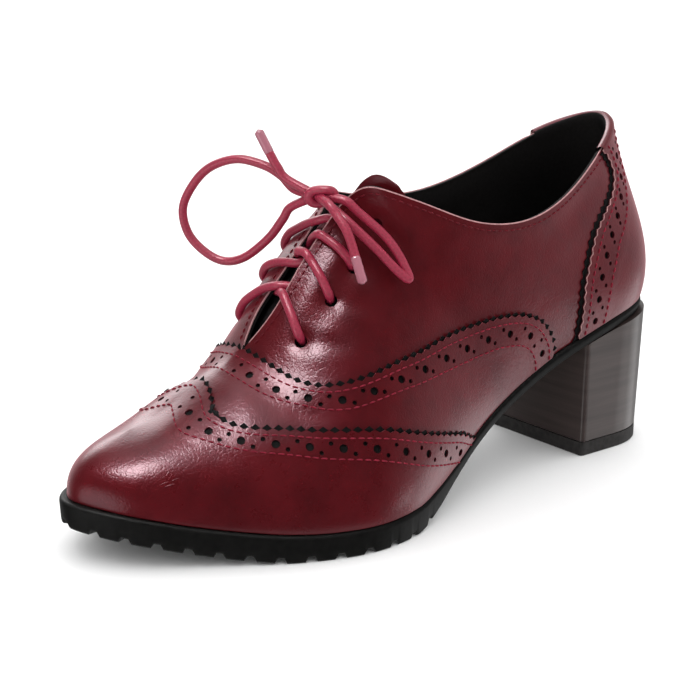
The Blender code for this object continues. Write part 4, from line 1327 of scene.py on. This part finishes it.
def sole_stations(rows):
    """Stations round the sole, with the gaps' edges among them, and how deep in a gap each one is."""
    fine, run, gaps = lug_places(rows)
    reach = LUG_GAP / 2
    edges = [gaps + way * far for way in (1, -1) for far in (reach, reach - LUG_SLOPE)]
    edges = np.abs(np.interp(np.concatenate(edges), run, fine))
    half = np.unique(np.round(np.concatenate([np.linspace(0, BACK, SOLE_COUNT), edges]), 5))
    u = np.concatenate([-half[:0:-1], half])
    place = np.interp(u, fine, run, left=-FAR, right=FAR)
    depth = np.zeros(len(u))
    for gap in gaps:
        depth = np.maximum(depth, np.clip((reach - np.abs(place - gap)) / LUG_SLOPE + SAME, 0, 1))
    return u, depth


def sole_piece():
    rows = feather_rows()
    u, depth = sole_stations(rows)
    base, normal = round_loop(rows, u), plan_normal(rows, u)
    ledge = through(np.arange(BACK + 1), [row[3] for row in FEATHER], np.abs(u))
    profile = [(ledge - SOLE_LEDGE, "top", 0.0)]
    for a in np.linspace(0, math.pi / 2, LIP_COUNT):
        profile.append((ledge - LIP * (1 - math.sin(a)), "top", -LIP * (1 - math.cos(a))))
    profile += [
        (ledge - SOLE_LEAN * SOLE_WALL_LEAN, "under", SOLE_WALL_FOOT),
        (ledge - SOLE_LEAN, "under", SOLE_ROUND),
        (ledge - SOLE_LEAN - SOLE_ROUND, "under", 0.0),
        (np.full(len(u), -LUG_RUN + LUG_SLOPE), "under", 0.0),
        (np.full(len(u), -LUG_RUN), "inner", 0.0),
    ]
    rings = []
    for outset, kind, rise in profile:
        flat = base + normal * outset[:, None]
        z = (sole_top if kind == "top" else sole_under)(flat[:, 1]) + rise
        if kind == "under":
            z = z + depth * LUG_DEPTH
        rings.append(np.column_stack([flat, z]))
    n, last = len(u), len(rings) - 1
    faces = skin(len(rings), n)
    slots = np.repeat([0, 1], [(last - 2) * (n - 1), 2 * (n - 1)]).tolist()
    faces += [face[::-1] for face in lid(0, n)] + lid(last, n)
    slots += np.repeat([0, 1], n // 2).tolist()
    made = mesh_object("sole_rubber", np.vstack(rings), faces, [LOOKS["sole"], LOOKS["tread"]], slots)
    keep_sharp(made, SOLE_SHARP)
    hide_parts("outsole")


def keep_sharp(obj, degrees):
    """Splits the shading at edges sharper than this."""
    modifier = obj.modifiers.new("edges", "EDGE_SPLIT")
    modifier.split_angle = math.radians(degrees)


def heel_ring(shape, low, inset=0.0, share=0.0):
    """A D seen from above, its flat side to the toe: level at low, or a share of the way up to the sole."""
    front, outer, inner, turn, back = shape
    front, back = front + inset, back - inset
    corner, straights, bend = HEEL_COUNTS
    loop = []
    for x, sign in ((outer - inset, 1), (inner + inset, -1)):
        side = []
        for angle in np.linspace(0, math.pi / 2, corner):
            across, along = HEEL_CORNER * (1 - math.sin(angle)), HEEL_CORNER * (1 - math.cos(angle))
            side.append((x - sign * across, front + along))
        side += [(x, y) for y in np.linspace(front + 2 * HEEL_CORNER, turn - HEEL_TURN, straights)]
        for angle in np.linspace(0, math.pi / 2, bend):
            across = x * math.cos(angle) ** HEEL_SQUARE
            side.append((across, turn + (back - turn) * math.sin(angle) ** HEEL_SQUARE))
        loop += side if sign > 0 else side[-2::-1]
    return np.array([(x, y, low + share * (float(sole_under(y)) - GAP - low)) for x, y in loop])


def heel_pieces():
    below, above, start = HEEL_SEAM
    tip = [
        heel_ring(HEEL_FOOT, 0.0, HEEL_ROUND),
        heel_ring(HEEL_FOOT, HEEL_ROUND),
        heel_ring(HEEL_FOOT, HEEL_TIP - below),
        heel_ring(HEEL_FOOT, HEEL_TIP, HEEL_CHAMFER),
    ]
    made = loft("heel_top_piece", tip, [LOOKS["tip"]])
    keep_sharp(made, HEEL_SHARP)
    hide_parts("heel_tip")
    foot, head = np.array(HEEL_FOOT), np.array(HEEL_HEAD)
    rings = [heel_ring(foot, HEEL_TIP + above, HEEL_CHAMFER), heel_ring(foot, HEEL_TIP + start)]
    for share in HEEL_LEVELS:
        rings.append(heel_ring(foot + share * (head - foot), HEEL_TIP + GAP, 0.0, share))
    made = loft("heel_block", rings, [LOOKS["heel"]])
    keep_sharp(made, HEEL_SHARP)
    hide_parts("heel")


def insole_piece():
    rows = feather_rows()
    half = np.linspace(0, BACK, INSOLE_COUNT)
    u = np.concatenate([-half[:0:-1], half])
    base, normal = round_loop(rows, u), plan_normal(rows, u)
    rings = []
    for inset, share in INSOLE_EDGE:
        flat = base - normal * (WALL + INSOLE_INSET + inset)
        rings.append(np.column_stack([flat, sole_top(flat[:, 1]) + GAP + share * INSOLE]))
    n = len(u)
    faces = skin(len(rings), n) + lid(0, n) + lid(len(rings) - 1, n)
    made = mesh_object("insole_sock", np.vstack(rings), faces, [LOOKS["lining"]])
    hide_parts("insole")


# Lace

def strand_path(station, height, side, lead, heights):
    """One strand: out of its eyelet, over its facing, across the throat and under the other facing."""
    def on(ahead, v, out, which):
        return face_point(np.array(on_side(station + ahead, which)), np.array(v), out)

    path = [on(lead * share, height + share * (1 - height), out, side) for share, out in STRAND]
    own, middle, other, end = heights
    over, under, last = (share * lead for share in CROSS_LEADS)
    path.append(on(lead, 1.0, own, side))
    path.append(0.5 * (on(over, 1.0, middle, 1) + on(over, 1.0, middle, -1)))
    path.append(on(under, 1.0, other, -side))
    path.append(on(last, STRAND_TUCK, end, -side))
    return smooth_path(path, STRAND_SPANS)


def lace_strands():
    for k, ((station, height), (outer_lead, inner_lead)) in enumerate(zip(EYELETS, LEADS)):
        heights = (CROSS_HIGH, CROSS_LOW) if OUTER_ON_TOP[k] else (CROSS_LOW, CROSS_HIGH)
        outer = strand_path(station, height, 1, outer_lead, heights[0])
        inner = strand_path(station, height, -1, inner_lead, heights[1])
        made = tube(f"lace_strand_outer_{k + 1}", outer, LACE_D, LOOKS["lace"])
        tube(f"lace_strand_inner_{k + 1}", inner, LACE_D, LOOKS["lace"])
        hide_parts(f"lace_cross_{k + 1}")


def knot_wraps():
    """The wrap round the knot, as a coil about its axis."""
    start, end = (np.array(p) for p in KNOT_AXIS)
    axis = unit(end - start)
    side = unit(np.cross(axis, (0, 0, 1)))
    up = np.cross(side, axis)
    share, turn = smooth_path(KNOT_WRAP, STRAND_SPANS).T
    turn = np.radians(turn)[:, None]
    coil = start + share[:, None] * (end - start) + KNOT_COIL * (np.cos(turn) * side + np.sin(turn) * up)
    return tube("lace_knot_wraps", coil, LACE_D, LOOKS["lace"])


def aglet_pieces(node, ends):
    """The sleeve of an aglet, and a black plug at its open end as painted shade of the bore."""
    sleeve = smooth_path(ends, AGLET_SPANS)
    aglet = tube(node + "_sleeve", sleeve, AGLET_D, LOOKS["tag"])
    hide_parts(node)
    bore = sleeve[-1] + unit(sleeve[-1] - sleeve[0]) * np.linspace(*AGLET_SHADE_SPAN, 4)[:, None]
    return [aglet, tube(node + "_bore_shade", bore, AGLET_SHADE_D, LOOKS["lining"], THIN_SIDES)]


def lace_bow():
    """Knot, two loops and two ends with their aglets."""
    knot = knot_wraps()
    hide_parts("lace_knot")
    cords = [
        ("lace_bow_inner", "lace_loop_inner", LOOP_INNER + [KNOT_INSIDE], None, None),
        ("lace_bow_outer", "lace_loop_outer", LOOP_OUTER + [KNOT_INSIDE], None, None),
        ("lace_tail_inner", "lace_end_inner", END_INNER + TAG_INNER[1:], TAG_INNER, "aglet_inner"),
        ("lace_tail_outer", "lace_end_outer", END_OUTER + TAG_OUTER[1:], TAG_OUTER, "aglet_outer"),
    ]
    for name, node, route, tag, tag_node in cords:
        path = smooth_path([KNOT_INSIDE] + route, CORD_SPANS)
        made = tube(name, path, LACE_D, LOOKS["lace"])
        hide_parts(node)
        on_it = aglet_pieces(tag_node, tag) if tag else [knot]


# Stage

def area_light(name, place, aim, size, power):
    data = bpy.data.lights.new(name, "AREA")
    data.shape = "RECTANGLE"
    data.size, data.size_y = size
    data.energy = power
    lamp = bpy.data.objects.new(name, data)
    bpy.context.scene.collection.objects.link(lamp)
    lamp.location = place
    lamp.rotation_euler = (Vector(aim) - Vector(place)).to_track_quat("-Z", "Y").to_euler()


def surroundings():
    """A pale studio that is dark on the viewer's side, bright overhead and white where it is seen."""
    world = bpy.data.worlds.new("studio")
    world.use_nodes = True
    bpy.context.scene.world = world
    back = world.node_tree.nodes["Background"]
    back.inputs["Color"].default_value = (1.0, 1.0, 1.0, 1.0)
    way = coordinates(world, "Generated")
    front = vector_maths(world, "DOT_PRODUCT", way, DARK_SIDE)
    rise = add_node(world, "ShaderNodeSeparateXYZ", {"Vector": way}).outputs["Z"]
    mirrored = between(world, front, WORLD_SIDES_SPAN, *WORLD_SIDES)
    lit = [
        between(world, rise, WORLD_OVERHEAD_SPAN, 0.0, WORLD_OVERHEAD),
        between(world, rise, WORLD_UNDER_SPAN, 0.0, WORLD_UNDER),
    ]
    for field, rim, full, strength in WORLD_FIELDS:
        near = vector_maths(world, "DOT_PRODUCT", way, field)
        lit.append(between(world, near, (rim, full), 0.0, strength))
    for field in lit:
        mirrored = maths(world, "MAXIMUM", mirrored, field)
    even = between(world, rise, WORLD_EVEN_SPAN, *WORLD_EVEN)
    even = maths(world, "MULTIPLY", even, between(world, front, WORLD_TILT_SPAN, *WORLD_TILT))
    path = add_node(world, "ShaderNodeLightPath").outputs
    mirrored = maths(world, "MULTIPLY", mirrored, path["Is Glossy Ray"])
    even = maths(world, "MULTIPLY", even, path["Is Diffuse Ray"])
    level = maths(world, "MAXIMUM", maths(world, "ADD", mirrored, even), path["Is Camera Ray"])
    world.node_tree.links.new(level, back.inputs["Strength"])


def studio():
    mesh = bpy.data.meshes.new("floor")
    corners = [(x * FLOOR_HALF, y * FLOOR_HALF, 0.0) for x, y in ((-1, -1), (1, -1), (1, 1), (-1, 1))]
    mesh.from_pydata(corners, [], [(0, 1, 2, 3)])
    mesh.materials.append(shader("pale_floor", FLOOR_WHITE, 0.6, DULL_FLOOR))
    floor = bpy.data.objects.new("floor", mesh)
    bpy.context.scene.collection.objects.link(floor)
    floor.visible_glossy = False
    surroundings()
    for name, place, size, power in SOFTBOXES:
        area_light(name, place, SOFTBOX_AIM, size, power)


def camera():
    data = bpy.data.cameras.new("camera")
    data.sensor_width = SENSOR
    data.lens = LENS
    data.clip_start = CLIP_START
    view = bpy.data.objects.new("camera", data)
    bpy.context.scene.collection.objects.link(view)
    place = Vector((np.array(CAMERA) + SHIFT) * MM)
    aim = Vector((np.array(AIM) + SHIFT) * MM)
    view.location = place
    view.rotation_euler = (aim - place).to_track_quat("-Z", "Y").to_euler()
    bpy.context.scene.camera = view
    bpy.context.scene.view_settings.view_transform = "Standard"


def main():
    camera()
    lace_strands()
    lace_bow()
    wing, vamp, counter = (band_lines(rows) for rows in (WING, VAMP, COUNTER))
    upper_piece()
    cap_piece(wing)
    trim_piece("wing_trim", wing, WING_TRIM_LAYER, 1, 1.0, TRIM_OUT, TRIM_LIFT)
    vamp_piece(wing, vamp)
    trim_piece("vamp_trim", vamp, TRIM_LAYER, 1, 1.0, TRIM_OUT, TRIM_LIFT)
    counter_piece(counter)
    trim_piece(
        "counter_trim", counter, TRIM_LAYER, -1, COUNTER_TRIM_TOP, COUNTER_TRIM_OUT, COUNTER_TRIM_LIFT
    )
    topline_fold()
    edge_beads()
    toe_scuff()
    seam_stitches(wing, vamp, counter)
    tongue_piece()
    sole_piece()
    heel_pieces()
    insole_piece()
    studio()


main()
